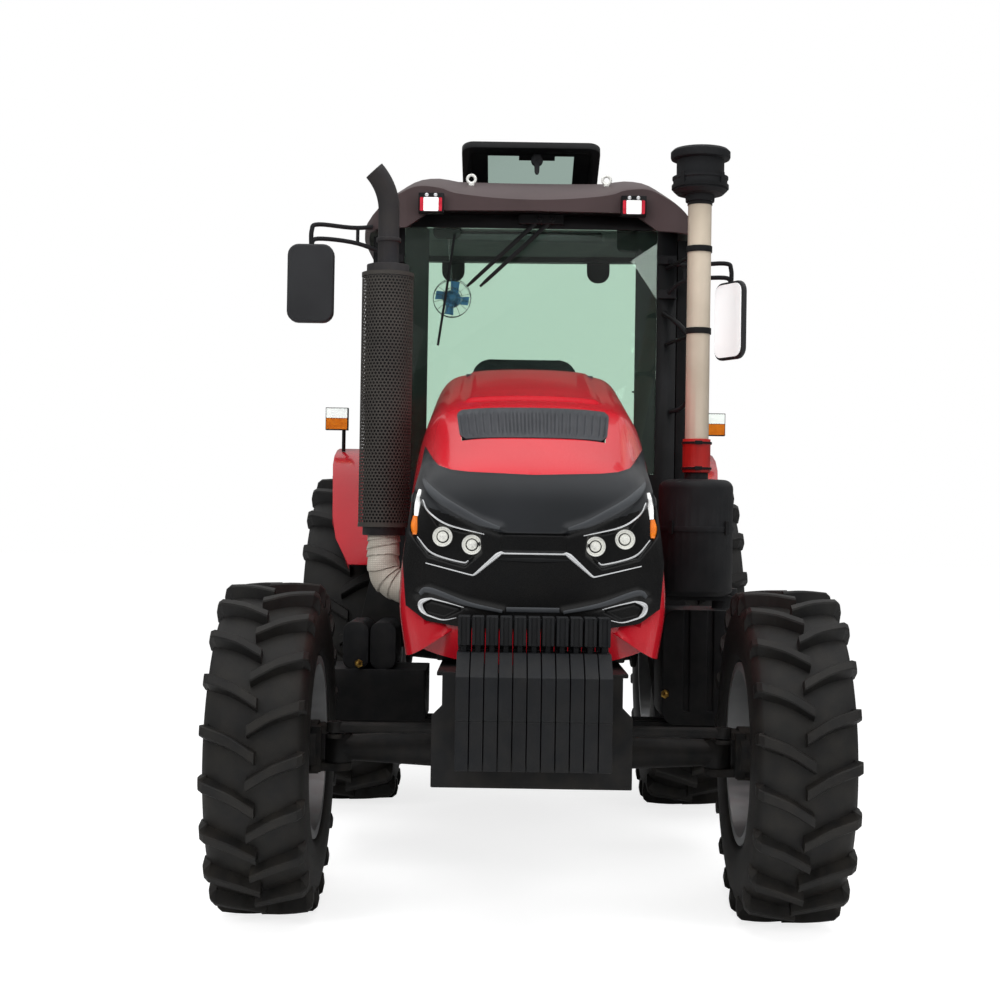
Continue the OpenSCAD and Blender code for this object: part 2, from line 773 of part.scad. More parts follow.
// Cross bars under the engine that carry the tank and the battery box
module side_carriers() color("#1b1c1e")
  for (y = [tank_y0 + carrier_inset, tank_y1 - carrier_inset - carrier_w]) {
    box([-battery_x1, y, tank_z0 - carrier_h], [tank_x1 - carrier_inset, y + carrier_w, tank_z0]);
    both_sides()
      box([carrier_hanger_x, y, tank_z0], [carrier_hanger_x + carrier_hanger_w, y + carrier_w,
        engine_foot_z]);
  }

// Moulded fuel tank with grooves between its ribs and a filler neck
module fuel_tank() color("#232427") {
  rib_pitch = (tank_x1 - tank_x0) / tank_ribs;
  difference() {
    along_y(tank_y0, tank_y1, rounded([tank_x0, tank_z0], [tank_x1, tank_z1], tank_corner));
    for (i = [1:tank_ribs - 1])
      box([tank_x0 + i * rib_pitch - tank_groove_w / 2, tank_y0 - over, tank_z0 + tank_corner],
        [tank_x0 + i * rib_pitch + tank_groove_w / 2, tank_y0 + tank_groove, tank_z1 + over]);
  }
  translate([tank_x1 - filler_in, tank_y0 + tank_l / 2, tank_z1]) {
    cylinder(h = filler_h, r = filler_r);
    translate([0, 0, filler_h]) cylinder(h = filler_cap_h, r = filler_cap_r);
  }
}

// Battery box with two tool boxes on its lid
module battery_box() color("#1e1f21") mirror([1, 0, 0]) {
  mid_x = (tool_box_x0 + tool_box_x1) / 2;
  along_z(tank_z0, battery_z1, rounded([battery_x0, tank_y0], [battery_x1, tank_y1], battery_corner));
  for (x = [[tool_box_x0, mid_x - tool_box_slit / 2], [mid_x + tool_box_slit / 2, tool_box_x1]])
    along_y(tank_y0 + tool_box_inset, tank_y1 - tool_box_inset,
      rounded([x[0], battery_z1], [x[1], tool_box_z1], tool_box_corner));
}

// Ladder of two treads under each door
module steps() color("#1b1c1e") both_sides() {
  for (y = [step_y0, step_y0 + step_w - stringer_t])
    along_y(y, y + stringer_t, [
      [stringer_root_x, floor_z - floor_t], [stringer_root_x, floor_z - floor_t - stringer_root_h],
      [step_in_x, step_z], [step_out_x, step_z], [stringer_top_x, floor_z - floor_t]
    ]);
  for (i = [0:step_count - 1]) {
    z = step_z + i * step_rise;
    x1 = step_out_x - (step_out_x - stringer_top_x) * i * step_rise / (floor_z - floor_t - step_z) - stringer_t;
    box([x1 - tread_d, step_y0 + stringer_t / 2, z], [x1, step_y0 + step_w - stringer_t / 2, z + step_t]);
  }
}

// Bonnet and nose
nose_y = fa_y - nose_reach;
nose_back = 300;
nose_back_y = fa_y - nose_back;
bonnet_slope_front = 500;
bonnet_slope_y = fa_y - bonnet_slope_front;
bonnet_crest_back = 100;
bonnet_crest_y = fa_y + bonnet_crest_back;
bonnet_rear_room = 40;
bonnet_rear_y = cab_front_y - bonnet_rear_room;
bonnet_soft = 10;
bonnet_side_front = 200;
bonnet_side_y0 = fa_y - bonnet_side_front;
bonnet_side_back = 250;
bonnet_side_y1 = fa_y + bonnet_side_back;
bonnet_side_z1 = 1300;
bonnet_side_z2 = 1420;
bonnet_rings = 12;
nose_h = bonnet_nose_z - nose_foot_z;
bonnet_hinge_r = 14;
bonnet_hinge_l = 110;
bonnet_hinge_x = 180;
bonnet_hinge_drop = 75;
bonnet_hinge_in = 60;
bonnet_hinge_y = bonnet_rear_y - bonnet_hinge_in;
bonnet_hinge_z = bonnet_rear_z - bonnet_hinge_drop;
hinge_web_t = 30;
hinge_web_drop = 25;
hinge_lug_r = 26;
support_post_x = 130;
support_post_w = 60;
support_post_d = 40;
support_lug_t = 30;
// Cross section from the lower edge to the middle of the top: half width and height shares
section_shares = [[0.95, 0], [1, 0.25], [0.985, 0.47], [0.93, 0.7], [0.85, 0.86], [0.72, 0.955],
  [0.5, 0.985], [0, 1]];
// Nose rings from back to front: reach, width, top drop and foot rise shares
nose_shares = [[0, 1, 0, 0], [0.4, 0.995, 0, 0], [0.7, 0.98, 0.01, 0], [0.86, 0.95, 0.04, 0.005],
  [0.95, 0.9, 0.1, 0.02], [0.985, 0.8, 0.2, 0.06], [1, 0.5, 0.4, 0.2]];
mask_lift = 14;
lamp_lift = 9;
// Outline of the black mask seen from the front: half width and nose height shares
mask_shares = [[0, 0.155], [0.49, 0.155], [0.78, 0.19], [0.93, 0.27], [0.962, 0.52], [0.907, 0.845],
  [0.833, 1.135], [0.62, 1.02], [0, 0.994]];
// Outline of one head lamp unit: half width and nose height shares
lamp_shares = [[0.905, 0.92], [0.69, 0.715], [0.385, 0.668], [0.37, 0.555], [0.5, 0.475], [0.78, 0.53],
  [0.92, 0.66]];
lamp_fit_share = 0.985;
// Places of the two round lamps of a unit
round_lamp_shares = [[0.455, 0.6], [0.665, 0.64]];
round_lamp_r = 32;
round_lamp_l = 13;
vent_front = 215;
vent_back = 55;
vent_y0 = fa_y - vent_front;
vent_y1 = fa_y + vent_back;
vent_front_half = 288;
vent_rear_half = 262;
vent_bar = 16;
vent_ribs = 21;
vent_rib_w = 8;
vent_t = 12;
vent_room = 0.3;
vent_slope = atan((bonnet_crest_z - bonnet_nose_z) / (bonnet_crest_y - bonnet_slope_y));

// Height of the bonnet's top line at y
function bonnet_top(y) =
  let (a = bonnet_nose_z + (y - bonnet_slope_y) * tan(vent_slope))
  let (rear_rise = (bonnet_rear_z - bonnet_crest_z) / (bonnet_rear_y - bonnet_crest_y))
  let (b = bonnet_crest_z + (y - bonnet_crest_y) * rear_rise)
  (a + b) / 2 - sqrt(pow((a - b) / 2, 2) + bonnet_soft * bonnet_soft);

// Height of the bonnet's lower edge at y
function bonnet_foot(y) =
  y < bonnet_side_y0 ? nose_foot_z
  : y < bonnet_side_y1
    ? nose_foot_z + (bonnet_side_z1 - nose_foot_z) * (y - bonnet_side_y0) / (bonnet_side_y1 - bonnet_side_y0)
  : bonnet_side_z1 + (bonnet_side_z2 - bonnet_side_z1) * (y - bonnet_side_y1) / (bonnet_rear_y - bonnet_side_y1);

// One cross section as points from the right lower edge over the top to the left lower edge
function bonnet_section(y, top, foot, half_w) =
  let (n = len(section_shares))
  [for (i = [0:2 * n - 2])
    let (s = section_shares[i < n ? i : 2 * n - 2 - i])
    [(i < n ? 1 : -1) * half_w * s[0], y, foot + (top - foot) * s[1]]];

// Triangles for a stack of closed rings of n points, with a fan over each end
function stack_faces(rings, n) = concat(
  [for (i = [1:n - 2]) [0, i, i + 1]],
  [for (k = [0:rings - 2]) for (i = [0:n - 1])
    let (j = (i + 1) % n, a = k * n, b = (k + 1) * n)
    each [[a + i, b + i, a + j], [b + i, b + j, a + j]]],
  [for (i = [1:n - 2]) [(rings - 1) * n, (rings - 1) * n + i + 1, (rings - 1) * n + i]]
);

// Triangles of a strip between two rows of n points that start at a and b
function strip(a, b, n, flip = false) = [for (i = [0:n - 2]) each flip
  ? [[a + i, a + i + 1, b + i], [b + i, a + i + 1, b + i + 1]]
  : [[a + i, b + i, a + i + 1], [b + i, b + i + 1, a + i + 1]]];

// Triangles that join the ends of the outer rows and the inner rows, ring after ring
function rim_strip(rings, n, i, flip = false) = [for (k = [0:rings - 2])
  let (a = 2 * n * k + i, b = 2 * n * (k + 1) + i)
  each flip ? [[a, b, a + n], [b, b + n, a + n]] : [[a, a + n, b], [b, a + n, b + n]]];

// Bonnet skin: each ring holds its outer points and then its inner points
module bonnet_shell() {
  ys = [for (i = [0:bonnet_rings]) nose_back_y + (bonnet_rear_y - nose_back_y) * i / bonnet_rings];
  n = 2 * len(section_shares) - 1;
  points = [for (y = ys) each concat(
    bonnet_section(y, bonnet_top(y), bonnet_foot(y), bonnet_half_w),
    bonnet_section(y, bonnet_top(y) - bonnet_skin, bonnet_foot(y), bonnet_half_w - bonnet_skin))];
  last = 2 * n * bonnet_rings;
  polyhedron(points, concat(
    [for (k = [0:bonnet_rings - 1]) each strip(2 * n * k, 2 * n * (k + 1), n, true)],
    [for (k = [0:bonnet_rings - 1]) each strip(2 * n * k + n, 2 * n * (k + 1) + n, n)],
    strip(0, n, n), strip(last, last + n, n, true),
    rim_strip(bonnet_rings + 1, n, 0, true), rim_strip(bonnet_rings + 1, n, n - 1)));
}

// Shape in the plane of the sloping top panel, cut or filled through its skin
module on_top_panel(z0, z1)
  translate([0, vent_y0, bonnet_top(vent_y0)]) rotate([vent_slope, 0, 0])
    translate([0, 0, z0]) linear_extrude(z1 - z0) children();

module vent_outline(inset) {
  l = (vent_y1 - vent_y0) / cos(vent_slope);
  polygon([[-vent_front_half + inset, inset], [vent_front_half - inset, inset],
    [vent_rear_half - inset, l - inset], [-vent_rear_half + inset, l - inset]]);
}

module bonnet() color("#b5121b") {
  difference() {
    bonnet_shell();
    on_top_panel(-4 * bonnet_skin, 4 * bonnet_skin) vent_outline(0);
  }
  both_sides() {
    rod([bonnet_hinge_x, bonnet_hinge_y, bonnet_hinge_z],
      [bonnet_hinge_x + bonnet_hinge_l, bonnet_hinge_y, bonnet_hinge_z], bonnet_hinge_r);
    box([bonnet_hinge_x + bonnet_hinge_l - hinge_web_t, bonnet_hinge_y - bonnet_hinge_r, bonnet_hinge_z],
      [bonnet_hinge_x + bonnet_hinge_l, bonnet_hinge_y + bonnet_hinge_r,
        bonnet_top(bonnet_hinge_y) - hinge_web_drop]);
  }
}

// Posts on the gearbox that carry the bonnet's hinges
module bonnet_support() {
  post_y = engine_rear_y + clear;
  lug_x = bonnet_hinge_x + clear;
  both_sides() {
    box([support_post_x, post_y, gearbox_z1], [support_post_x + support_post_w, post_y + support_post_d,
      bonnet_hinge_z - hinge_lug_r]);
    difference() {
      union() {
        rod([support_post_x, bonnet_hinge_y, bonnet_hinge_z],
          [lug_x + support_lug_t, bonnet_hinge_y, bonnet_hinge_z],
          hinge_lug_r);
        box([support_post_x, bonnet_hinge_y, bonnet_hinge_z - hinge_lug_r],
          [lug_x + support_lug_t, post_y + support_post_d, bonnet_hinge_z]);
      }
      rod([bonnet_hinge_x - clear, bonnet_hinge_y, bonnet_hinge_z],
        [lug_x + support_lug_t + over, bonnet_hinge_y, bonnet_hinge_z], bonnet_hinge_r + run_gap);
    }
  }
  box([-support_post_x, post_y, bonnet_hinge_z - support_post_w],
    [support_post_x, post_y + support_post_d, bonnet_hinge_z]);
}

// Ribbed grille that fills the opening in the top panel
module bonnet_vent() color("#3b3d40") {
  l = (vent_y1 - vent_y0) / cos(vent_slope);
  on_top_panel(-vent_t - bonnet_soft, -bonnet_soft) difference() {
    vent_outline(vent_room);
    vent_outline(vent_bar);
  }
  on_top_panel(-vent_t - bonnet_soft, -bonnet_soft)
    for (i = [0:vent_ribs - 1]) {
      x = (i + 1 / 2 - vent_ribs / 2) * 2 * (vent_rear_half - vent_bar) / vent_ribs;
      translate([x - vent_rib_w / 2, vent_bar - vent_room]) square([vent_rib_w,
        l - 2 * vent_bar + 2 * vent_room]);
    }
}

// Solid nose ahead of the bonnet skin, grown by lift and drawn out by tail at its back
module nose_solid(lift, tail = 0) {
  reach = nose_back_y - nose_y;
  back = bonnet_section(nose_back_y + tail, bonnet_top(nose_back_y) + lift, nose_foot_z - lift,
    bonnet_half_w + lift);
  rings = [if (tail > 0) back, for (s = nose_shares)
    let (y = nose_back_y - reach * s[0])
    let (top = bonnet_top(y) - nose_h * s[2])
    let (foot = nose_foot_z + nose_h * s[3])
    bonnet_section(y - lift * s[0], top + lift, foot - lift, bonnet_half_w * s[1] + lift)];
  polyhedron([for (r = rings) each r], stack_faces(len(rings), len(rings[0])));
}

// Outline on the nose, mirrored about the middle when both is true
function on_nose(shares) = [for (s = shares) [s[0] * bonnet_half_w, nose_foot_z + s[1] * nose_h]];

module nose_prism(pts) along_y(nose_y - nose_reach, nose_back_y, pts);

module nose_panel() color("#b5121b") difference() {
  nose_solid(0);
  nose_solid(-bonnet_skin, over);
}

// Black moulded mask over the nose with two pockets for the lamps
module nose_mask() color("#202123") difference() {
  intersection() {
    nose_solid(mask_lift);
    union() both_sides() nose_prism(on_nose(mask_shares));
  }
  nose_solid(gap);
  both_sides() nose_prism(on_nose(lamp_shares));
}

// Outline of a lamp unit drawn in a little from its pocket
function lamp_fit() =
  let (n = len(lamp_shares))
  let (cx = [for (s = lamp_shares) s[0]] * [for (s = lamp_shares) 1] / n)
  let (cz = [for (s = lamp_shares) s[1]] * [for (s = lamp_shares) 1] / n)
  [for (s = lamp_shares) [cx + (s[0] - cx) * lamp_fit_share, cz + (s[1] - cz) * lamp_fit_share]];

// Lamp units in the pockets, each with two round lamps
module head_lamps() color("#c9ccd0") both_sides() {
  intersection() {
    difference() {
      nose_solid(lamp_lift);
      nose_solid(gap);
    }
    nose_prism(on_nose(lamp_fit()));
  }
  for (s = round_lamp_shares)
    translate([s[0] * bonnet_half_w, nose_y - gap, nose_foot_z + s[1] * nose_h])
      rotate([90, 0, 0]) cylinder(h = round_lamp_l, r = round_lamp_r);
}

// Exhaust stack
exhaust_y = fa_y + exhaust_back;
muffler_end = 34;
tail_bend_r = 230;
tail_bend = 45;
tail_turn = 20;
pipe_wall = 4;
weld_ring_r = 52;
weld_ring_h = 16;
shield_ring_t = 4;
elbow_r = 60;
elbow_bend_r = 92;
elbow_z = 1245;

// Air intake
cleaner_y = fa_y + cleaner_back;
cleaner_neck_h = 30;
cleaner_round = 40;
cleaner_band = 6;
cleaner_band_h = 22;
cleaner_band_z_share = 0.52;
duct_r = 44;
duct_z = 1255;
bracket_arm_half_d = 42;
bracket_arm_t = 20;
bracket_arm_drop = 110;
hose_r = 60;
hose_h = 145;
clamp_r = 63;
clamp_h = 12;
strap_r = 56;
strap_h = 26;
strap_zs = [2345, 2700];
strap_rod_r = 9;
strap_room = 2;
strap_lug_l = 40;
bowl_neck_r = 58;
bowl_neck_share = 0.16;
bowl_body_share = 0.72;
bowl_lid_r = 126;
bowl_lid_h = 26;
bowl_waist_r = 92;

// Muffler with the tail pipe above it, bent outwards and open at its tip
module exhaust_stack() color("#2c2c2e") translate([-exhaust_x, exhaust_y, 0]) rotate([0, 0, tail_turn]) {
  pipe_z = shield_z1 + muffler_end;
  translate([0, 0, shield_z0 - muffler_end]) cylinder(h = pipe_z - shield_z0 + muffler_end, r = muffler_r);
  translate([0, 0, pipe_z]) cylinder(h = tail_pipe_z - pipe_z, r = tail_pipe_r);
  translate([0, 0, (shield_z1 + tail_pipe_z) / 2]) cylinder(h = weld_ring_h, r = weld_ring_r);
  translate([-tail_bend_r, 0, tail_pipe_z]) rotate([90, 0, 0]) difference() {
    rotate_extrude(angle = tail_bend) translate([tail_bend_r, 0]) circle(tail_pipe_r);
    rotate([0, 0, tail_bend / 2]) rotate_extrude(angle = tail_bend)
      translate([tail_bend_r, 0]) circle(tail_pipe_r - pipe_wall);
  }
}

// Perforated guard around the muffler, held by a ring at each end
module heat_shield() color("#3a3a3b") translate([-exhaust_x, exhaust_y, 0]) {
  difference() {
    translate([0, 0, shield_z0]) cylinder(h = shield_z1 - shield_z0, r = shield_r);
    translate([0, 0, shield_z0 - over]) cylinder(h = shield_z1 - shield_z0 + 2 * over,
      r = shield_r - shield_wall);
  }
  for (z = [shield_z0, shield_z1 - shield_ring_t])
    translate([0, 0, z]) difference() {
      cylinder(h = shield_ring_t, r = shield_r - shield_wall / 2);
      translate([0, 0, -over]) cylinder(h = shield_ring_t + 2 * over, r = muffler_r + gap);
    }
}

// Wrapped elbow from the engine's side up into the muffler
module exhaust_elbow() color("#d8d5ce") translate([-exhaust_x, exhaust_y, 0]) {
  head_x = exhaust_x - engine_w / 2 * head_w_share;
  translate([0, 0, elbow_z + elbow_bend_r]) cylinder(h = shield_z0 - muffler_end - elbow_z - elbow_bend_r,
    r = elbow_r);
  translate([elbow_bend_r, 0, elbow_z + elbow_bend_r]) rotate([90, 0, 180]) rotate_extrude(angle = -90)
    translate([elbow_bend_r, 0]) circle(elbow_r);
  rod([elbow_bend_r, 0, elbow_z], [head_x, 0, elbow_z], elbow_r);
}

// Air cleaner with its band, bracket and the duct to the engine
module air_cleaner() color("#1d1e20") {
  h = cleaner_z1 - cleaner_z0;
  engine_x = engine_w / 2;
  translate([cleaner_x, cleaner_y, cleaner_z0]) {
    rotate_extrude() polygon(concat(
      [[0, 0], [cleaner_r - cleaner_round / 2, 0], [cleaner_r, cleaner_round / 2],
        [cleaner_r, h * cleaner_band_z_share], [cleaner_r + cleaner_band, h * cleaner_band_z_share],
        [cleaner_r + cleaner_band, h * cleaner_band_z_share + cleaner_band_h],
        [cleaner_r, h * cleaner_band_z_share + cleaner_band_h]],
      arc([cleaner_r - cleaner_round, h - cleaner_neck_h - cleaner_round], cleaner_round, 0, 90),
      [[intake_r, h - cleaner_neck_h], [intake_r, h], [0, h]]));
  }
  along_y(cleaner_y - bracket_arm_half_d, cleaner_y + bracket_arm_half_d, [
    [engine_x, cleaner_z0 - bracket_arm_t - bracket_arm_drop],
    [engine_x + bracket_arm_t, cleaner_z0 - bracket_arm_t - bracket_arm_drop],
    [engine_x + bracket_arm_t, cleaner_z0 - bracket_arm_t],
      [cleaner_x + cleaner_r, cleaner_z0 - bracket_arm_t],
    [cleaner_x + cleaner_r, cleaner_z0], [engine_x, cleaner_z0]
  ]);
  rod([engine_x * head_w_share, cleaner_y, duct_z], [cleaner_x, cleaner_y, duct_z], duct_r);
}

// Red hose with its two clamps on the cleaner's neck
module intake_hose() color("#a5141c") translate([cleaner_x, cleaner_y, cleaner_z1]) difference() {
  union() {
    cylinder(h = hose_h, r = hose_r);
    for (z = [clamp_h, hose_h - 2 * clamp_h])
      translate([0, 0, z]) cylinder(h = clamp_h, r = clamp_r);
  }
  translate([0, 0, clamp_h]) cylinder(h = hose_h, r = intake_r + gap);
}

// Intake pipe from the hose up to the pre-cleaner
module intake_stack() color("#b7aea2")
  translate([cleaner_x, cleaner_y, cleaner_z1 + clamp_h])
    cylinder(h = intake_top_z - cleaner_z1 - clamp_h, r = intake_r);

// Straps round the pipe with rods back to the windscreen pillar
module intake_straps() color("#1b1c1e")
  for (z = strap_zs) {
    translate([cleaner_x, cleaner_y, z]) difference() {
      cylinder(h = strap_h, r = strap_r);
      translate([0, 0, -over]) cylinder(h = strap_h + 2 * over, r = intake_r + gap);
    }
    box([cleaner_x - strap_rod_r, cleaner_y + (intake_r + strap_r) / 2, z],
      [cleaner_x + strap_rod_r, cleaner_y + strap_r + strap_lug_l, z + strap_h]);
    rod([pillar_x1 - pillar_w / 2, cab_front_y - strap_room, z + strap_h / 2],
      [cleaner_x, cleaner_y + strap_r + strap_lug_l / 2, z + strap_h / 2], strap_rod_r);
  }

// Pre-cleaner bowl with its overhanging lid
module pre_cleaner() color("#18191b") translate([cleaner_x, cleaner_y, intake_top_z]) {
  neck_h = bowl_h * bowl_neck_share;
  body_h = bowl_h * bowl_body_share;
  rotate_extrude() polygon([
    [0, 0], [bowl_neck_r, 0], [bowl_neck_r, neck_h], [bowl_r, 2 * neck_h], [bowl_r, body_h],
    [bowl_waist_r, body_h], [bowl_waist_r, bowl_h - bowl_lid_h], [bowl_lid_r, bowl_h - bowl_lid_h],
    [bowl_lid_r, bowl_h - bowl_lid_h / 2], [bowl_r, bowl_h], [0, bowl_h]
  ]);
}

// Fenders
fender_lap = 80;
fender_side_room = 63;
band_room = 4;
fender_inner_x = min(pillar_x1 - fender_lap, rear_wheel_x - rear_tyre_w / 2 - fender_side_room);
fender_wall = 12;
fender_front_z = 1300;
fender_rear_z = 1360;

// Arc of points about the rear axle in the YZ plane
function axle_arc(r, a0, a1) = arc([ra_y, ra_z], r, a0, a1, 2 * arc_steps);
// Angle at which a circle about the rear axle is at height z, ahead of the axle
function front_angle(r, z) = 180 - asin((z - ra_z) / r);
// Angle at which a circle about the rear axle is at height z, behind the axle
function rear_angle(r, z) = asin((z - ra_z) / r);
// Angle at which a circle about the rear axle is at place y
function angle_at(r, y) = acos((y - ra_y) / r);

// Fender skins over the rear wheels with their lips and their walls beside the cab
module fenders() color("#b5121b") both_sides() {
  inner_r = fender_r - fender_t;
  front = front_angle(fender_r, fender_front_z);
  rear = rear_angle(fender_r, fender_rear_z);
  along_x(fender_inner_x, fender_outer_x,
    concat(axle_arc(fender_r, front, rear), axle_arc(inner_r, rear, front)));
  along_x(fender_outer_x - fender_t, fender_outer_x,
    concat(axle_arc(inner_r, front, rear), axle_arc(inner_r - fender_lip, rear, front)));
  along_x(fender_inner_x - fender_wall, fender_inner_x, concat(
    [[cab_rear_y, floor_z - floor_t]], axle_arc(fender_r, angle_at(fender_r, cab_rear_y),
      front_angle(fender_r, floor_z - floor_t))
  ));
}

// Cab frame
firewall_z1 = 1750;
firewall_t = 40;
rear_wall_z1 = 1900;
rear_wall_t = 40;
band_lap = 30;
header_h = 60;
hinge_barrel_r = 14;
hinge_leaf_t = 10;
hinge_pin_r = 8;
hinge_barrel_h = 60;
hinge_zs = [2080, 2660];
mount_r = 45;
mount_x = 150;
mount_front_in = 120;
mount_rear_out = 100;
mount_front_y = cab_front_y + mount_front_in;
mount_rear_y = ra_y + mount_rear_out;

module cab_frame() color("#1a1b1d") {
  floor_half = fender_inner_x - fender_wall - gap;
  band_r = fender_r + band_room;
  box([-floor_half, cab_front_y, floor_z - floor_t], [floor_half, cab_rear_y, floor_z]);
  both_sides() {
    box([floor_half - over, cab_front_y, floor_z - floor_t],
      [pillar_x1, cab_front_y + firewall_t, firewall_z1]);
    for (y = [mount_front_y, mount_rear_y])
      translate([mount_x, y, gearbox_z1]) cylinder(h = floor_z - floor_t - gearbox_z1, r = mount_r);
    box([pillar_x0, cab_front_y, firewall_z1], [pillar_x1, cab_front_y + pillar_w, roof_z]);
    for (y = [door_hinge_y, cab_rear_y - pillar_w])
      box([pillar_x0, y, floor(ra_z + sqrt(pow(arch_r - band_lap, 2) - pow(y - ra_y, 2)))],
        [pillar_x1, y + pillar_w, roof_z]);
    along_x(fender_inner_x, pillar_x1, concat(
      axle_arc(arch_r + band_lap, front_angle(arch_r + band_lap, floor_z - floor_t),
        angle_at(arch_r + band_lap, cab_rear_y)),
      axle_arc(band_r, angle_at(band_r, cab_rear_y), front_angle(band_r, floor_z - floor_t))));
    box([pillar_x0, cab_front_y + pillar_w, roof_z - header_h], [pillar_x1, cab_rear_y - pillar_w, roof_z]);
    for (z = hinge_zs) difference() {
      union() {
        translate([door_hinge_x, door_hinge_y, z]) cylinder(h = hinge_barrel_h, r = hinge_barrel_r);
        box([pillar_x1 - over, door_hinge_y, z],
          [door_hinge_x, door_hinge_y + hinge_leaf_t, z + hinge_barrel_h]);
      }
      translate([door_hinge_x, door_hinge_y, z - over])
        cylinder(h = hinge_barrel_h + 2 * over, r = hinge_pin_r + run_gap);
    }
  }
  box([-floor_half, cab_front_y, floor_z], [floor_half, cab_front_y + firewall_t, firewall_z1]);
  box([-floor_half, cab_rear_y - rear_wall_t, floor_z], [floor_half, cab_rear_y, rear_wall_z1]);
  for (y = [cab_front_y, cab_rear_y - pillar_w])
    box([-pillar_x0, y, roof_z - header_h], [pillar_x0, y + pillar_w, roof_z]);
}

// Windscreen, rear window and the panes over the fenders
module cab_glass() color("#b8d8cf") {
  z1 = roof_z - header_h - gap;
  box([-pillar_x0 + gap, cab_front_y + glass_in, firewall_z1 + gap],
    [pillar_x0 - gap, cab_front_y + glass_in + glass_t, z1]);
  box([-pillar_x0 + gap, cab_rear_y - glass_in - glass_t, rear_wall_z1 + gap],
    [pillar_x0 - gap, cab_rear_y - glass_in, z1]);
  side_r = arch_r + band_lap + gap;
  side_y0 = door_hinge_y + pillar_w + gap;
  side_y1 = cab_rear_y - pillar_w - gap;
  both_sides()
    along_x(pillar_x1 - glass_in - glass_t, pillar_x1 - glass_in, concat(
      axle_arc(side_r, angle_at(side_r, side_y0), angle_at(side_r, side_y1)),
        [[side_y1, z1], [side_y0, z1]]));
}

// Door outline drawn in by inset on every side
function door_outline(inset) =
  let (y0 = cab_front_y + door_room + inset)
  let (y1 = door_hinge_y - door_room - inset)
  let (z0 = floor_z + door_room + inset)
  let (r = arch_r + inset)
  concat([[y0, z0]], axle_arc(r, front_angle(r, z0), angle_at(r, y1)),
    [[y1, door_top_z - inset], [y0, door_top_z - inset]]);

module door_frame_left() color("#1a1b1d") {
  difference() {
    along_x(cab_half_w - door_t, cab_half_w, door_outline(0));
    along_x(cab_half_w - door_t - over, cab_half_w + over, door_outline(door_bar));
  }
  for (z = hinge_zs) {
    translate([door_hinge_x, door_hinge_y, z - hinge_barrel_h / 2])
      cylinder(h = 2 * hinge_barrel_h, r = hinge_pin_r);
    for (foot = [z - hinge_barrel_h / 2, z + hinge_barrel_h + run_gap * 2])
      translate([0, 0, foot]) {
        translate([door_hinge_x, door_hinge_y, 0]) cylinder(h = hinge_barrel_h / 2 - run_gap * 2,
          r = hinge_barrel_r);
        box([cab_half_w - hinge_barrel_r, door_hinge_y - door_room - hinge_barrel_r, 0],
          [door_hinge_x, door_hinge_y, hinge_barrel_h / 2 - run_gap * 2]);
      }
  }
  handle_y = cab_front_y + door_room + handle_in;
  box([cab_half_w - over, handle_y, handle_z], [cab_half_w + handle_out, handle_y + handle_l,
    handle_z + handle_h]);
}
module door_frame_right() color("#1a1b1d")
  mirror([1, 0, 0]) door_frame_left();

module door_glass_left() color("#b8d8cf")
  along_x(cab_half_w - door_t / 2, cab_half_w - door_t / 2 + glass_t, door_outline(door_bar + gap));
module door_glass_right() color("#b8d8cf")
  mirror([1, 0, 0]) door_glass_left();

// Roof shell with the opening for its hatch and the two hinge lugs
module cab_roof() color("#8d857f") {
  top_z = roof_z + roof_h;
  y0 = cab_front_y - roof_front_over;
  y1 = cab_rear_y + roof_rear_over;
  section = concat(
    [[-roof_half_w + skirt_t, roof_z], [-roof_half_w + skirt_t, roof_skirt_z], [-roof_half_w, roof_skirt_z]],
    [for (p = arc([0, 0], 1, 180, 90)) [-roof_half_w + roof_round + p[0] * roof_round,
      roof_round_z + p[1] * roof_round_h]],
    [for (p = arc([0, 0], 1, 90, 0)) [roof_half_w - roof_round + p[0] * roof_round,
      roof_round_z + p[1] * roof_round_h]],
    [[roof_half_w, roof_skirt_z], [roof_half_w - skirt_t, roof_skirt_z], [roof_half_w - skirt_t, roof_z]]);
  profile = concat([[y0, roof_skirt_z]],
    [for (p = arc([0, 0], 1, 180, 90)) [y0 + roof_brow + p[0] * roof_brow,
      roof_lip_z + p[1] * (top_z - roof_lip_z)]],
    [for (p = arc([0, 0], 1, 90, 0)) [y1 - roof_tail + p[0] * roof_tail,
      roof_lip_z + p[1] * (top_z - roof_lip_z)]],
    [[y1, roof_skirt_z]]);
  difference() {
    intersection() {
      along_y(y0, y1, section);
      along_x(-roof_half_w, roof_half_w, profile);
      along_z(roof_skirt_z, top_z + over, rounded([-roof_half_w, y0], [roof_half_w, y1], roof_corner));
    }
    box([-hatch_w / 2 + hatch_lap, hatch_hinge_y - hatch_l + hatch_lap, roof_z - over],
      [hatch_w / 2 - hatch_lap, hatch_hinge_y - hatch_lap, top_z + over]);
  }
  both_sides() difference() {
    union() {
      box([hatch_lug_x, hatch_hinge_y - hatch_lug_t / 2, top_z - hatch_lug_t],
        [hatch_lug_x + hatch_lug_t, hatch_hinge_y + hatch_lug_t / 2, hatch_hinge_z]);
      rod([hatch_lug_x, hatch_hinge_y, hatch_hinge_z],
        [hatch_lug_x + hatch_lug_t, hatch_hinge_y, hatch_hinge_z],
        hatch_lug_t / 2);
    }
    rod([hatch_lug_x - over, hatch_hinge_y, hatch_hinge_z],
      [hatch_lug_x + hatch_lug_t + over, hatch_hinge_y, hatch_hinge_z], hatch_pin_r + run_gap);
  }
}

// Everything of the hatch, turned open about its hinge
module open_hatch()
  translate([0, hatch_hinge_y, hatch_hinge_z]) rotate([-hatch_angle, 0, 0]) children();

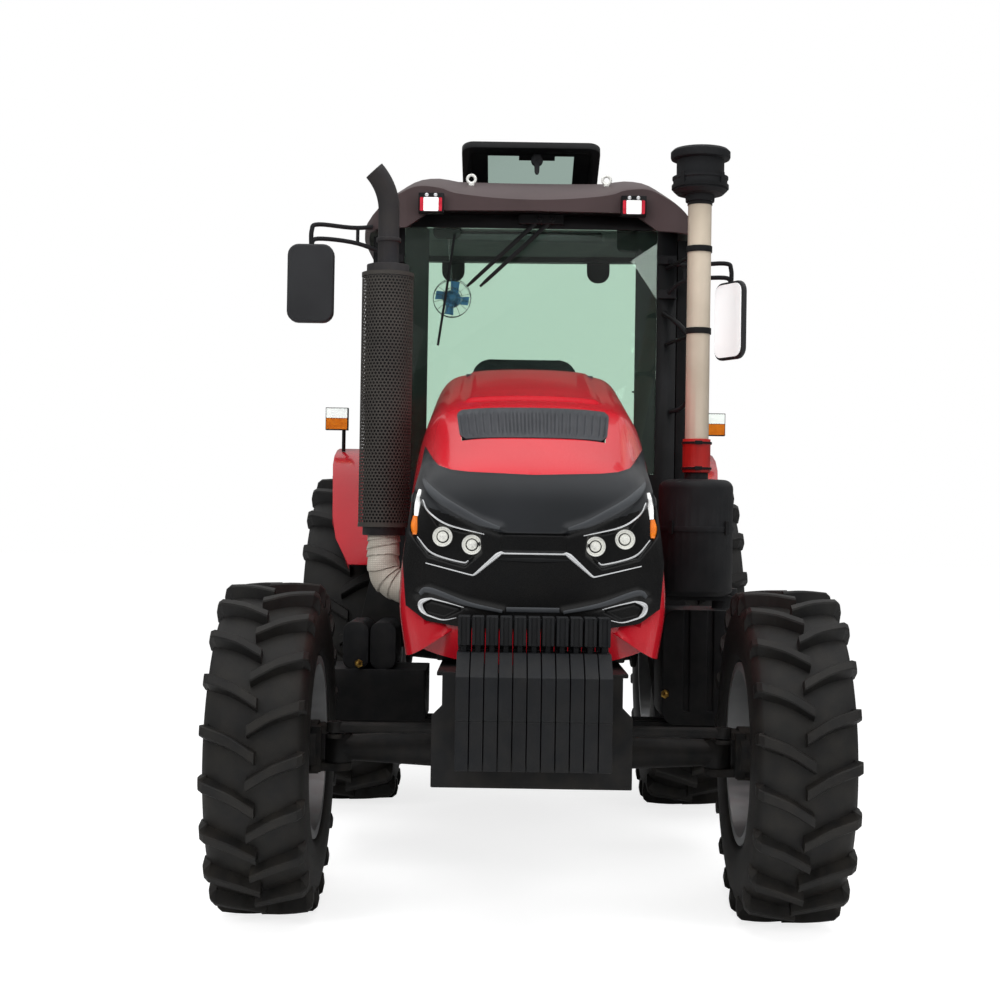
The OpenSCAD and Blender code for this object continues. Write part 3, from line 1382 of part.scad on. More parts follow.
module hatch_frame() color("#1b1c1e") open_hatch() {
  half = hatch_w / 2;
  difference() {
    along_z(-hatch_t / 2, hatch_t / 2, rounded([-half, -hatch_l], [half, -hatch_back], hatch_round));
    along_z(-hatch_t, hatch_t, rounded([-half + hatch_bar, -hatch_l + hatch_bar],
      [half - hatch_bar, -hatch_back - hatch_bar],
      hatch_round / 2));
  }
  both_sides() {
    rod([hatch_lug_x - hatch_lug_t, 0, 0], [hatch_lug_x + 2 * hatch_lug_t, 0, 0], hatch_pin_r);
    box([hatch_lug_x + hatch_lug_t + clear / 2, -hatch_back - over, -hatch_pin_r],
      [hatch_lug_x + 2 * hatch_lug_t, 0, hatch_pin_r]);
  }
}

module hatch_glass() color("#3c4a48") open_hatch() {
  half = hatch_w / 2 - hatch_bar - gap;
  along_z(-glass_t / 2, glass_t / 2,
    rounded([-half, -hatch_l + hatch_bar + gap], [half, -hatch_back - hatch_bar - gap], hatch_round / 2));
}

// Inside of the cab
seat_ahead = 320;
seat_y = ra_y - seat_ahead;
seat_base_half_w = 190;
seat_base_l = 400;
seat_base_h = 360;
cushion_half_w = 245;
cushion_l = 520;
cushion_t = 125;
cushion_round = 45;
backrest_t = 110;
backrest_h = 560;
backrest_lean = 10;
console_half_w = 230;
console_l = 250;
console_z = 1900;
column_r = 28;
column_y = 190;
column_foot_z = 1860;
wheel_y = 420;
wheel_z = 2060;
wheel_r = 200;
wheel_rim_r = 14;
wheel_tilt = 35;

// Outside fittings
wiper_motor_x0 = -60;
wiper_motor_x1 = 150;
wiper_motor_h = 46;
wiper_motor_d = 40;
wiper_pivot_x = 60;
wiper_out = 22;
wiper_tip = [-330, 2600];
wiper_arm_r = 6;
wiper_pair = 40;
wiper_blade_l = 260;
wiper_blade_r = 9;
mirror_x = 1022;
mirror_front = 200;
mirror_w = 210;
mirror_h = 365;
mirror_t = 64;
mirror_round = 50;
mirror_z = 2430;
mirror_arm_z = 2832;
mirror_arm_r = 11;
mirror_ball_r = 17;
mirror_arm_drop = 112;
mirror_plate_t = 24;
mirror_plate_half_h = 20;
mirror_left_drop = 150;
mirror_left_x = 906;
mirror_left_turn = 62;
lamp_x = 460;
lamp_w = 115;
lamp_h = 88;
lamp_d = 60;
lamp_sink = 30;
marker_x0 = 950;
marker_x1 = 1070;
marker_ahead = 250;
marker_y = ra_y - marker_ahead;
marker_d = 46;
marker_h = 120;
marker_z = 2000;
marker_stalk_r = 10;
marker_stalk_drop = 2;
tail_lamp_z = 1480;
tail_lamp_w = 230;
tail_lamp_h = 100;
tail_lamp_d = 40;

// Hitch
lift_back = 390;
lift_y = ra_y + lift_back;
top_link_l = 420;
top_link_r = 22;
top_link_parts = 3;
lift_z = 1000;
lift_shaft_r = 35;
lift_cover_half_w = 200;
lift_cover_z0 = 850;
lift_cover_out = 70;
lift_arm_rise = 10;
lift_arm_x = 300;
lift_arm_t = 36;
lift_arm_h = 60;
lift_pin_r = 14;
lift_rod_x = 360;
lift_rod_r = 16;
lift_eye_r = 30;
lift_eye_t = 30;
lift_pin_room = 22;
link_shaft_r = 25;
link_t = 30;
link_eye_r = 46;
link_ball_r = 34;
link_lift_l = 480;
link_block_x0 = 60;
link_block_l = 180;
drawbar_half_w = 42;
drawbar_t = 40;
drawbar_z = 400;
drawbar_l = 760;
drawbar_hanger_l = 90;
drawbar_hole_in = 60;
pto_l = 90;
pto_z = 720;
pto_guard_half_w = 130;
pto_guard_h = 150;
pto_guard_t = 8;
pto_guard_l = 130;

link_y = ra_y + link_pivot_back;
link_end_y = overall_l / 2 - link_eye_r;
eye_y = lift_y + lift_arm_l * cos(lift_arm_rise);
eye_z = lift_z + lift_arm_l * sin(lift_arm_rise);
rod_foot_y = link_y + link_lift_l;

// Console with the steering column and wheel, and the seat's pedestal
module cab_controls() color("#232426") {
  box([-seat_base_half_w, seat_y, floor_z], [seat_base_half_w, seat_y + seat_base_l, floor_z + seat_base_h]);
  box([-console_half_w, cab_front_y + firewall_t, floor_z],
    [console_half_w, cab_front_y + firewall_t + console_l, console_z]);
  rod([0, cab_front_y + column_y, column_foot_z], [0, cab_front_y + wheel_y, wheel_z], column_r);
  translate([0, cab_front_y + wheel_y, wheel_z]) rotate([wheel_tilt, 0, 0]) {
    rotate_extrude() translate([wheel_r, 0]) circle(wheel_rim_r);
    for (a = [90, 210, 330])
      rotate([0, 0, a]) rod([0, 0, 0], [wheel_r, 0, 0], wheel_rim_r / 2);
  }
}

// Cushion and backrest as two pads
module seat_pads() color("#2b2c30") {
  z = floor_z + seat_base_h;
  along_z(z, z + cushion_t, rounded([-cushion_half_w, seat_y - cushion_round],
    [cushion_half_w, seat_y - cushion_round + cushion_l],
    cushion_round));
  translate([0, seat_y + seat_base_l - cushion_round,
    z + cushion_t + gap + backrest_t * sin(backrest_lean)]) rotate([-backrest_lean, 0, 0])
    along_y(0, backrest_t, rounded([-cushion_half_w, 0], [cushion_half_w, backrest_h], 2 * cushion_round));
}

// Wiper motor on the header with two parallel arms and a blade
module wipers() color("#151617") {
  y = cab_front_y - wiper_out;
  z = roof_z - wiper_motor_h / 2 - gap;
  box([wiper_motor_x0, cab_front_y - wiper_motor_d, z - wiper_motor_h / 2],
    [wiper_motor_x1, cab_front_y, z + wiper_motor_h / 2]);
  for (dx = [0, wiper_pair])
    rod([wiper_pivot_x + dx, y, z], [wiper_tip[0] + dx, y, wiper_tip[1]], wiper_arm_r);
  rod([wiper_tip[0] - wiper_pair, y, wiper_tip[1]], [wiper_tip[0] + 2 * wiper_pair, y, wiper_tip[1]],
    wiper_arm_r);
  rod([wiper_tip[0], y, wiper_tip[1] - wiper_blade_l / 2],
    [wiper_tip[0], y, wiper_tip[1] + wiper_blade_l / 2], wiper_blade_r);
}

// Mirror on two tubes from the windscreen pillar
module mirror_on_arm(x, drop, turn) {
  y = cab_front_y - mirror_front;
  root = [pillar_x1 - pillar_w / 2, cab_front_y - mirror_plate_t / 2, mirror_arm_z - drop];
  tip = [x, y, mirror_arm_z - drop];
  rod(root, tip, mirror_arm_r);
  rod(root - [0, 0, mirror_arm_drop], tip, mirror_arm_r);
  for (z = [mirror_arm_z - drop, mirror_arm_z - drop - mirror_arm_drop])
    box([pillar_x0, cab_front_y - mirror_plate_t, z - mirror_plate_half_h],
      [pillar_x1, cab_front_y, z + mirror_plate_half_h]);
  rod([x, y, mirror_z + mirror_h - drop - mirror_round], tip, mirror_arm_r);
  translate(tip) sphere(mirror_ball_r);
  translate([x, y, mirror_z - drop]) rotate([0, 0, turn])
    along_y(-mirror_t / 2, mirror_t / 2, rounded([-mirror_w / 2, 0], [mirror_w / 2, mirror_h], mirror_round));
}

module mirrors() color("#18191a") {
  mirror_on_arm(mirror_left_x, mirror_left_drop, mirror_left_turn);
  mirror([1, 0, 0]) mirror_on_arm(mirror_x, 0, 0);
}

// Work lamps on the roof's edges, marker lamps on the fenders and tail lamps
module lamps() color("#d9d9d4") both_sides() {
  y0 = cab_front_y - roof_front_over;
  y1 = cab_rear_y + roof_rear_over;
  fender_top = ra_z + sqrt(pow(fender_r, 2) - pow(marker_ahead - marker_d / 2 - marker_stalk_r, 2));
  for (y = [y0 - lamp_d, y1])
    box([lamp_x - lamp_w / 2, y, roof_z - lamp_sink],
      [lamp_x + lamp_w / 2, y + lamp_d, roof_z - lamp_sink + lamp_h]);
  box([marker_x0, marker_y, marker_z], [marker_x1, marker_y + marker_d, marker_z + marker_h]);
  rod([marker_x0 + marker_d / 2, marker_y + marker_d / 2, fender_top + gap - marker_stalk_drop],
    [marker_x0 + marker_d / 2, marker_y + marker_d / 2, marker_z + marker_h / 2], marker_stalk_r);
  fender_back = ra_y + sqrt(pow(fender_r, 2) - pow(tail_lamp_z - ra_z, 2));
  box([fender_outer_x - tail_lamp_w, fender_back + gap, tail_lamp_z],
    [fender_outer_x, fender_back + gap + tail_lamp_d, tail_lamp_z + tail_lamp_h]);
}

// Drawbar under the axle and the power take-off stub with its guard
module drawbar() color("#2a2b2d") {
  y1 = ra_y + drawbar_l;
  difference() {
    box([-drawbar_half_w, ra_y - housing_front / 2, drawbar_z], [drawbar_half_w, y1, drawbar_z + drawbar_t]);
    translate([0, y1 - drawbar_hole_in, drawbar_z - over]) cylinder(h = drawbar_t + 2 * over,
      r = drawbar_hole_r);
  }
  for (y = [ra_y - housing_front / 2, ra_y + housing_rear - housing_bevel - drawbar_hanger_l])
    box([-drawbar_half_w, y, drawbar_z + drawbar_t], [drawbar_half_w, y + drawbar_hanger_l, housing_z0]);
  rod([0, ra_y + housing_rear, pto_z], [0, ra_y + housing_rear + pto_l, pto_z], pto_r);
  along_y(ra_y + housing_rear, ra_y + housing_rear + pto_guard_l, [
    [-pto_guard_half_w, pto_z], [-pto_guard_half_w, pto_z + pto_guard_h / 2],
      [pto_guard_half_w, pto_z + pto_guard_h / 2],
    [pto_guard_half_w, pto_z], [pto_guard_half_w - pto_guard_t, pto_z],
    [pto_guard_half_w - pto_guard_t, pto_z + pto_guard_h / 2 - pto_guard_t],
    [-pto_guard_half_w + pto_guard_t, pto_z + pto_guard_h / 2 - pto_guard_t],
      [-pto_guard_half_w + pto_guard_t, pto_z]
  ]);
}

// Rocker shaft through the lift cover with its two arms and their pins
module lift_arms() color("#2a2b2d") {
  rod([-lift_arm_x - lift_arm_t, lift_y, lift_z], [lift_arm_x + lift_arm_t, lift_y, lift_z], lift_shaft_r);
  both_sides() {
    translate([lift_arm_x, lift_y, lift_z]) rotate([lift_arm_rise, 0, 0]) {
      along_x(0, lift_arm_t, concat(
        arc([0, 0], lift_arm_h, 90, 270), arc([lift_arm_l, 0], lift_eye_r, -90, 90)));
      rod([0, lift_arm_l, 0], [lift_rod_x + lift_eye_t / 2 - lift_arm_x, lift_arm_l, 0], lift_pin_r);
    }
  }
}

// Lift rods that hang from the arms beside the lower links
module lift_rods() color("#303134") both_sides() {
  x0 = lift_rod_x - lift_eye_t / 2;
  foot_z = link_pivot_z;
  difference() {
    union() {
      rod([x0, eye_y, eye_z], [x0 + lift_eye_t, eye_y, eye_z], lift_eye_r);
      rod([lift_rod_x, eye_y, eye_z], [lift_rod_x, rod_foot_y, foot_z], lift_rod_r);
      rod([x0, rod_foot_y, foot_z], [x0 + lift_eye_t, rod_foot_y, foot_z], lift_eye_r + lift_pin_room / 2);
    }
    rod([x0 - over, eye_y, eye_z], [x0 + lift_eye_t + over, eye_y, eye_z], lift_pin_r + run_gap);
    rod([x0 - over, rod_foot_y, foot_z], [x0 + lift_eye_t + over, rod_foot_y, foot_z],
      lift_pin_r / 2 + lift_pin_room);
  }
}

// Lower links with a ball eye at each rear end and a stub for the lift rod
module lower_links() color("#303134") both_sides() {
  x0 = link_x - link_t / 2;
  difference() {
    union() {
      along_x(x0, x0 + link_t, concat(
        arc([link_y, link_pivot_z], link_eye_r, 90, 270), arc([link_end_y, link_pivot_z], link_eye_r, -90,
          90)));
      rod([lift_rod_x, rod_foot_y, link_pivot_z], [x0 + over, rod_foot_y, link_pivot_z], lift_pin_r / 2);
    }
    rod([x0 - over, link_y, link_pivot_z], [x0 + link_t + over, link_y, link_pivot_z],
      link_shaft_r + run_gap);
    rod([x0 - over, link_end_y, link_pivot_z], [x0 + link_t + over, link_end_y, link_pivot_z], link_hole_r);
  }
}

// Cross shaft of the lower links in its two blocks, and the cover that carries the rocker shaft
module hitch_carrier() color("#26282b") {
  back_y = ra_y + housing_rear;
  difference() {
    along_x(-lift_cover_half_w, lift_cover_half_w, [
      [back_y, lift_cover_z0], [lift_y + lift_cover_out, lift_z - lift_cover_out],
      [lift_y + lift_cover_out, lift_z + lift_cover_out], [back_y, lift_z + lift_cover_out]
    ]);
    rod([-lift_cover_half_w - over, lift_y, lift_z], [lift_cover_half_w + over, lift_y, lift_z],
      lift_shaft_r + run_gap);
  }
  rod([-link_x - link_t / 2, link_y, link_pivot_z], [link_x + link_t / 2, link_y, link_pivot_z],
    link_shaft_r);
  both_sides() {
    box([link_block_x0, back_y - link_block_l, link_pivot_z - link_eye_r],
      [lift_cover_half_w, back_y, housing_z0]);
    box([link_block_x0, back_y, link_pivot_z - link_eye_r],
      [lift_cover_half_w, back_y + link_eye_r, housing_z0 + housing_bevel]);
  }
}

// Top link held out straight from the lift cover
module top_link() color("#303134") {
  y = lift_y + lift_cover_out;
  z = lift_z;
  box([-top_link_r, y, z - top_link_r], [top_link_r, y + top_link_l / top_link_parts, z + top_link_r]);
  difference() {
    union() {
      rod([0, y + top_link_l / top_link_parts, z], [0, y + top_link_l, z], top_link_r);
      rod([-top_link_r, y + top_link_l, z], [top_link_r, y + top_link_l, z], link_ball_r);
    }
    rod([-2 * top_link_r, y + top_link_l, z], [2 * top_link_r, y + top_link_l, z], link_hole_r);
  }
}

chassis_frame();
weight_bracket();
front_weights();
engine_block();
gearbox();
rear_axle_housing();
front_axle_beam();
steering_cylinder();
steering_rod();
front_knuckle_left();
front_knuckle_right();
front_tyre_left();
front_rim_left();
front_tyre_right();
front_rim_right();
rear_tyre_left();
rear_rim_left();
rear_tyre_right();
rear_rim_right();
side_carriers();
fuel_tank();
battery_box();
steps();
bonnet();
bonnet_vent();
nose_panel();
nose_mask();
head_lamps();
exhaust_stack();
heat_shield();
exhaust_elbow();
air_cleaner();
intake_hose();
intake_stack();
intake_straps();
pre_cleaner();
fenders();
cab_frame();
cab_glass();
door_frame_left();
door_glass_left();
door_frame_right();
door_glass_right();
cab_roof();
hatch_frame();
hatch_glass();
cab_controls();
seat_pads();
wipers();
mirrors();
lamps();
drawbar();
hitch_carrier();
lift_arms();
lift_rods();
lower_links();
top_link();
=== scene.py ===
# %% [markdown]
# # A farm tractor, dressed for its picture
# The solids come from the part's source, already at their real size and hinged as on the real machine.
# This lesson gives them their finishes and adds what shows from close by: lugs on the tyres, the holes of the heat
# shield, lamps with lenses, chrome lines, bolts, clamps and a padded seat. Everything is in metres, +Z is up and the
# tractor looks towards -Y.

# %% Load the frame
import bpy, bmesh, json, math
import numpy as np
from mathutils import Matrix, Vector


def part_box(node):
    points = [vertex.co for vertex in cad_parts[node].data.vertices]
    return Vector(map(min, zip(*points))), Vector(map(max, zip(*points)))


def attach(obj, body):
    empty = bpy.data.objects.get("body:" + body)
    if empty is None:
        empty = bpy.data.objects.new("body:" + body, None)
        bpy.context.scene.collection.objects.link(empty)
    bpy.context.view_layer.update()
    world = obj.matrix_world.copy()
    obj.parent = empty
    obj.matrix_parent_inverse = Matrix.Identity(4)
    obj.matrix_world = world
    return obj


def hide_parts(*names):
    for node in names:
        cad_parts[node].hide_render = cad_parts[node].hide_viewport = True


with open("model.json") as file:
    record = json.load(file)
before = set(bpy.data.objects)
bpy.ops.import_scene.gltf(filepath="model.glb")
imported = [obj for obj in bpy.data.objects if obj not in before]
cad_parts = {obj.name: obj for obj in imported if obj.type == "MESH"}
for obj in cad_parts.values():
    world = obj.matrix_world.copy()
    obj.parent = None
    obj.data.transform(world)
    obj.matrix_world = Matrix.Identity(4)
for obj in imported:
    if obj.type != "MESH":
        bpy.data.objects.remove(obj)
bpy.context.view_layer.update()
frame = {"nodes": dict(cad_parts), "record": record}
scene = bpy.context.scene
record = frame["record"]
body_of_node = {n: b for b, nodes in record["behaviour"]["bodies"].items() for n in nodes}
slot_of_node = {s["node"]: s["material_slot"] for s in record["subparts"]}

# %% [markdown]
# ## Camera, floor and light
# The picture was taken from in front, at breast height and about five metres from the weights, so all lines that run
# back along the tractor meet near the middle of the picture. The camera's place was worked out from that point and
# from the sizes of the tyres. It is tilted up and rolled by about a degree.

# %% Camera
picture_px = 1000
focal_px = 1645
meeting_px = (504, 524)
camera_place = Vector((-0.108, -7.8, 1.51))
roll = math.radians(0.9)
ahead = Vector(((500 - meeting_px[0]) / focal_px, 1, (meeting_px[1] - 500) / focal_px)).normalized()
level_right = ahead.cross(Vector((0, 0, 1))).normalized()
level_up = level_right.cross(ahead)
right = level_right * math.cos(roll) + level_up * math.sin(roll)
up = level_up * math.cos(roll) - level_right * math.sin(roll)
camera = bpy.data.objects.new("camera", bpy.data.cameras.new("camera"))
camera.data.sensor_width = 36
camera.data.lens = 36 * focal_px / picture_px
camera.matrix_world = Matrix((right, up, -ahead)).transposed().to_4x4()
camera.location = camera_place
scene.collection.objects.link(camera)
scene.camera = camera
scene.view_settings.view_transform = "Standard"
print("camera lens in mm:", round(camera.data.lens, 1))

# %% [markdown]
# Every shader and every geometry tree is built from nodes. One helper adds a node and fills its inputs, with a value or
# with a link from another node.

# %% Helpers for nodes
white = (1, 1, 1, 1)

def fill(tree, socket, value):
    if isinstance(value, bpy.types.NodeSocket):
        tree.links.new(value, socket)
    else:
        socket.default_value = value

def node(tree, kind, inputs=None, **settings):
    made = tree.nodes.new(kind)
    for key, value in settings.items():
        setattr(made, key, value)
    for key, value in (inputs or {}).items():
        fill(tree, made.inputs[key], value)
    return made

def first_of(tree, kind, inputs=None, **settings):
    return node(tree, kind, inputs, **settings).outputs[0]

def math_node(tree, operation, a, b=0.0):
    return first_of(tree, "ShaderNodeMath", {0: a, 1: b}, operation=operation)

def spread(tree, value, low, high, start=0.3, end=0.7):
    return first_of(tree, "ShaderNodeMapRange", {"Value": value, "From Min": start, "From Max": end, "To Min": low,
                                                 "To Max": high})

# %% [markdown]
# The floor is pale and the sky behind is white. A Light Path node lets the camera and the glass see full white, while
# the light that falls on the tractor stays at a plain level. Reflections see a sky that is bright overhead and dark
# near the ground, as in a yard, so that black pieces stay black. The floor keeps some diffuse share, so the shadow
# under the tractor still shows.

# %% Floor and sky
def sees_white(tree):
    path = tree.nodes.new("ShaderNodeLightPath").outputs
    through = math_node(tree, "MULTIPLY", path["Is Transmission Ray"],
                        math_node(tree, "LESS_THAN", path["Glossy Depth"], 0.5))
    return math_node(tree, "MAXIMUM", path["Is Camera Ray"], through), path["Is Glossy Ray"]

def sky(light):
    world = bpy.data.worlds.new("white_sky")
    world.use_nodes = True
    tree = world.node_tree
    tree.nodes.clear()
    place = node(tree, "ShaderNodeTexCoord").outputs["Generated"]
    height = node(tree, "ShaderNodeSeparateXYZ", {0: place}).outputs["Z"]
    soft = first_of(tree, "ShaderNodeBackground", {"Color": white, "Strength": light})
    bright = first_of(tree, "ShaderNodeBackground", {"Color": white})
    yard = first_of(tree, "ShaderNodeBackground", {"Strength": spread(tree, height, 0.1, 1.0, 0.08, 0.75)})
    seen, shiny = sees_white(tree)
    lower = first_of(tree, "ShaderNodeMixShader", {0: shiny, 1: soft, 2: yard})
    upper = first_of(tree, "ShaderNodeMixShader", {0: seen, 1: lower, 2: bright})
    node(tree, "ShaderNodeOutputWorld", {"Surface": upper})
    scene.world = world

def pale_floor(half, glow, shade):
    mesh = bpy.data.meshes.new("floor")
    mesh.from_pydata([(-half, -half, 0), (half, -half, 0), (half, half, 0), (-half, half, 0)], [], [(0, 1, 2, 3)])
    mat = bpy.data.materials.new("pale_floor")
    mat.use_nodes = True
    tree = mat.node_tree
    tree.nodes.clear()
    matt = first_of(tree, "ShaderNodeBsdfDiffuse", {"Color": (0.5, 0.5, 0.5, 1)})
    shown = first_of(tree, "ShaderNodeBsdfDiffuse", {"Color": (shade, shade, shade, 1)})
    shine = first_of(tree, "ShaderNodeEmission", {"Color": white, "Strength": glow})
    both = first_of(tree, "ShaderNodeAddShader", {0: shown, 1: shine})
    either = first_of(tree, "ShaderNodeMixShader", {0: sees_white(tree)[0], 1: matt, 2: both})
    node(tree, "ShaderNodeOutputMaterial", {"Surface": either})
    mesh.materials.append(mat)
    floor = bpy.data.objects.new("floor", mesh)
    scene.collection.objects.link(floor)

def soft_light(name, place, aim, size, watts):
    lamp = bpy.data.lights.new(name, "AREA")
    lamp.shape, lamp.size, lamp.energy = "SQUARE", size, watts
    obj = bpy.data.objects.new(name, lamp)
    obj.location = place
    obj.visible_glossy = False
    obj.rotation_euler = (Vector(aim) - Vector(place)).to_track_quat("-Z", "Y").to_euler()
    scene.collection.objects.link(obj)

sky(0.5)
pale_floor(60, 0.78, 0.46)
soft_light("overhead", (0.3, -2.5, 7.5), (0, -0.6, 1), 6, 420)
soft_light("front_left", (-4.5, -8, 4.5), (0, -1, 1.2), 3, 300)
soft_light("front_right", (5, -7, 3), (0, -1, 1.2), 3, 180)

# %% [markdown]
# ## Finishes
# Each finish is one shader on Object coordinates, so its grain keeps its real size on every piece. A coarse noise
# moves the colour between two tones, a fine noise gives the bump, and dust gathers towards the ground, because the
# objects all sit at the origin and so the Z of a point is its real height. A value that is the same everywhere is set
# on the shader's own socket.

# %% Colours and the paint mixer
def colour(code):
    parts = [int(code[i:i + 2], 16) / 255 for i in (1, 3, 5)]
    return tuple(c / 12.92 if c <= 0.04045 else ((c + 0.055) / 1.055) ** 2.4 for c in parts) + (1,)

def mixed(tree, share, first, second):
    made = tree.nodes.new("ShaderNodeMix")
    made.data_type = "RGBA"
    for index, value in ((0, share), (6, first), (7, second)):
        fill(tree, made.inputs[index], value)
    return made.outputs[2]

def noise(tree, place, scale, detail=4):
    return first_of(tree, "ShaderNodeTexNoise", {"Vector": place, "Scale": scale, "Detail": detail})

dust_tone = colour("#8a7d6b")

def finish(name, tone, other, grain, rough, bump=0.0, bump_scale=300, dust=0.0, pattern=None, fixed=None):
    mat = bpy.data.materials.new(name)
    mat.use_nodes = True
    tree = mat.node_tree
    shader = tree.nodes["Principled BSDF"]
    place = node(tree, "ShaderNodeTexCoord").outputs["Object"]
    coarse = noise(tree, place, grain)
    base = mixed(tree, spread(tree, coarse, 0, 1), colour(tone), colour(other))
    fine = noise(tree, place, bump_scale, 3)
    height = fine
    if pattern:
        height, share, thread = pattern(tree, place, fine)
        base = mixed(tree, share, base, thread)
    if dust:
        level = node(tree, "ShaderNodeSeparateXYZ", {"Vector": place}).outputs["Z"]
        low = spread(tree, level, dust, dust * 0.12, 0.2, 1.5)
        patches = spread(tree, noise(tree, place, 14, 8), 0.1, 1, 0.35, 0.75)
        base = mixed(tree, math_node(tree, "MULTIPLY", low, patches), base, dust_tone)
    tree.links.new(base, shader.inputs["Base Color"])
    tree.links.new(spread(tree, fine, *rough), shader.inputs["Roughness"])
    if bump:
        bumps = first_of(tree, "ShaderNodeBump", {"Height": height, "Strength": bump, "Distance": 0.002})
        tree.links.new(bumps, shader.inputs["Normal"])
    for key, value in (fixed or {}).items():
        shader.inputs[key].default_value = value
    return mat

# %% [markdown]
# Cloth and wrapping show their threads, and a machined rod shows the marks of the lathe. Those come from wave
# textures: two sets at right angles make a weave, and a noise stretched along one axis makes fine scratches.

# %% Threads and scratches
def weave(pitch, thread):
    def pattern(tree, place, fine):
        threads = {"Vector": place, "Scale": 0.16 / pitch, "Distortion": 0.6}
        waves = [node(tree, "ShaderNodeTexWave", threads, bands_direction=axis).outputs["Fac"] for axis in ("X", "Z")]
        both = math_node(tree, "MULTIPLY", *waves)
        return both, spread(tree, both, 0.5, 0, 0.1, 0.6), colour(thread)
    return pattern

def scratches(along, thread):
    def pattern(tree, place, fine):
        stretch = [400, 400, 400]
        stretch[along] = 6
        thin = first_of(tree, "ShaderNodeMapping", {"Vector": place, "Scale": stretch})
        lines = noise(tree, thin, 1, 2)
        return lines, spread(tree, lines, 0, 0.6), colour(thread)
    return pattern

# %% The finishes
def shine(level):
    return {"Specular IOR Level": level}

def glow(strength, tone=white):
    return {"Emission Color": tone, "Emission Strength": strength}

gloss = {"Coat Weight": 0.5, "Coat Roughness": 0.06}
metal, lens_coat = {"Metallic": 1.0}, {"Coat Weight": 0.6}
dull = shine(0.22)
red_paint = finish("red_paint", "#bf0f22", "#b00b1d", 2.5, (0.22, 0.3), 0.02, 900, 0.08, fixed=gloss)
black_paint = finish("black_paint", "#111213", "#18191b", 5, (0.42, 0.6), 0.06, 500, 0.07, fixed=dull)
frame_black = finish("frame_black", "#0e0f10", "#151618", 7, (0.3, 0.42), 0.04, 600, 0.03, fixed=shine(0.3))
casting = finish("rough_casting", "#1c1e20", "#141517", 8, (0.55, 0.75), 0.35, 260, 0.16, fixed=dull)
weight_iron = finish("weight_iron", "#121417", "#0d0f12", 9, (0.42, 0.58), 0.25, 320, 0.04, fixed=shine(0.35))
tyre_rubber = finish("tyre_rubber", "#111112", "#191918", 10, (0.42, 0.66), 0.12, 420, 0.05, fixed=shine(0.4))
rim_silver = finish("rim_silver", "#a3a5a6", "#8f9193", 6, (0.3, 0.42), 0.04, 700, 0.12, fixed={"Metallic": 0.55})
bright_steel = finish("bright_steel", "#8d9094", "#74777b", 12, (0.2, 0.32), 0.05, 300, 0,
                      scratches(0, "#b5b8bb"), metal)
# The chrome glows a little through emission: a painted glint of the sky on the bright strips and lamp bolts.
chrome = finish("chrome_trim_painted_glint", "#e4e6e8", "#d0d3d6", 20, (0.08, 0.16), 0, 500, fixed={"Metallic": 0.7, **glow(0.15)})
brass = finish("brass_latch", "#b8924a", "#8f6f36", 60, (0.25, 0.4), 0.1, 700, fixed=metal)
roof_paint = finish("roof_paint", "#483b3c", "#3e3333", 3, (0.4, 0.5), 0.03, 900, fixed={"Metallic": 0.2})
black_plastic = finish("black_plastic", "#151618", "#1d1e20", 7, (0.46, 0.62), 0.3, 1100, 0.05, fixed=dull)
grille_plastic = finish("grille_plastic", "#35373b", "#2b2d31", 9, (0.4, 0.55), 0.2, 900)
mask_gloss = finish("mask_gloss", "#070708", "#0b0c0d", 4, (0.24, 0.32), 0.01, 900, 0.03, fixed=shine(0.4))
# A lighter black than mask_gloss for the mask's upper part: a painted reflection of the sky.
mask_painted_sheen = finish("mask_painted_sheen", "#1d1f21", "#232528", 4, (0.3, 0.4), 0.03, 900)
# Mid grey for the raised bars of the black mask: painted sky light on their upward faces.
mask_sky_lit_grey = finish("mask_sky_lit_grey", "#3d4043", "#343639", 6, (0.36, 0.46), 0.05, 900)
exhaust_steel = finish("exhaust_steel", "#26262a", "#322f2e", 9, (0.5, 0.68), 0.1, 500, fixed={"Metallic": 0.3})
shield_steel = finish("shield_steel", "#4a4743", "#3e3c39", 6, (0.45, 0.6), 0.05, 600, fixed={"Metallic": 0.4})
wrap_cloth = finish("wrap_cloth", "#cfcac0", "#b9b2a6", 14, (0.8, 0.95), 0.6, 400, 0, weave(0.004, "#9b9488"))
pipe_beige = finish("pipe_beige", "#d2c5b3", "#c2b5a2", 5, (0.3, 0.4), 0.04, 700, fixed={"Metallic": 0.35})
hose_red = finish("hose_red", "#a11a16", "#8a120f", 9, (0.4, 0.52), 0.2, 500)
seat_cloth = finish("seat_cloth", "#2d2f33", "#25272b", 20, (0.8, 0.95), 0.5, 600, 0, weave(0.003, "#45484e"))
headliner = finish("headliner", "#5c6161", "#505555", 15, (0.8, 0.95), 0.4, 900)
lamp_white = finish("lamp_white", "#f2f2f0", "#dfe1e2", 30, (0.1, 0.2), 0.2, 250, fixed={**lens_coat, **glow(0.25)})
lamp_amber = finish("lamp_amber", "#e27a12", "#c9620a", 30, (0.12, 0.22), 0.2, 300, fixed=lens_coat)
lamp_red = finish("lamp_red", "#c92a3c", "#a81d2e", 30, (0.12, 0.22), 0.2, 300, fixed=lens_coat)
lamp_bowl = finish("lamp_bowl", "#d9d9d2", "#a9aaa6", 220, (0.12, 0.3), 0.4, 260,
                   fixed={"Metallic": 0.5, **glow(0.3, (1, 1, 0.95, 1))})
fan_blue = finish("fan_blue", "#3d78b4", "#336699", 20, (0.35, 0.5), 0.05, 500)
eye_white = finish("eye_white", "#d8d8d4", "#c6c6c2", 40, (0.3, 0.4), 0.05, 600)
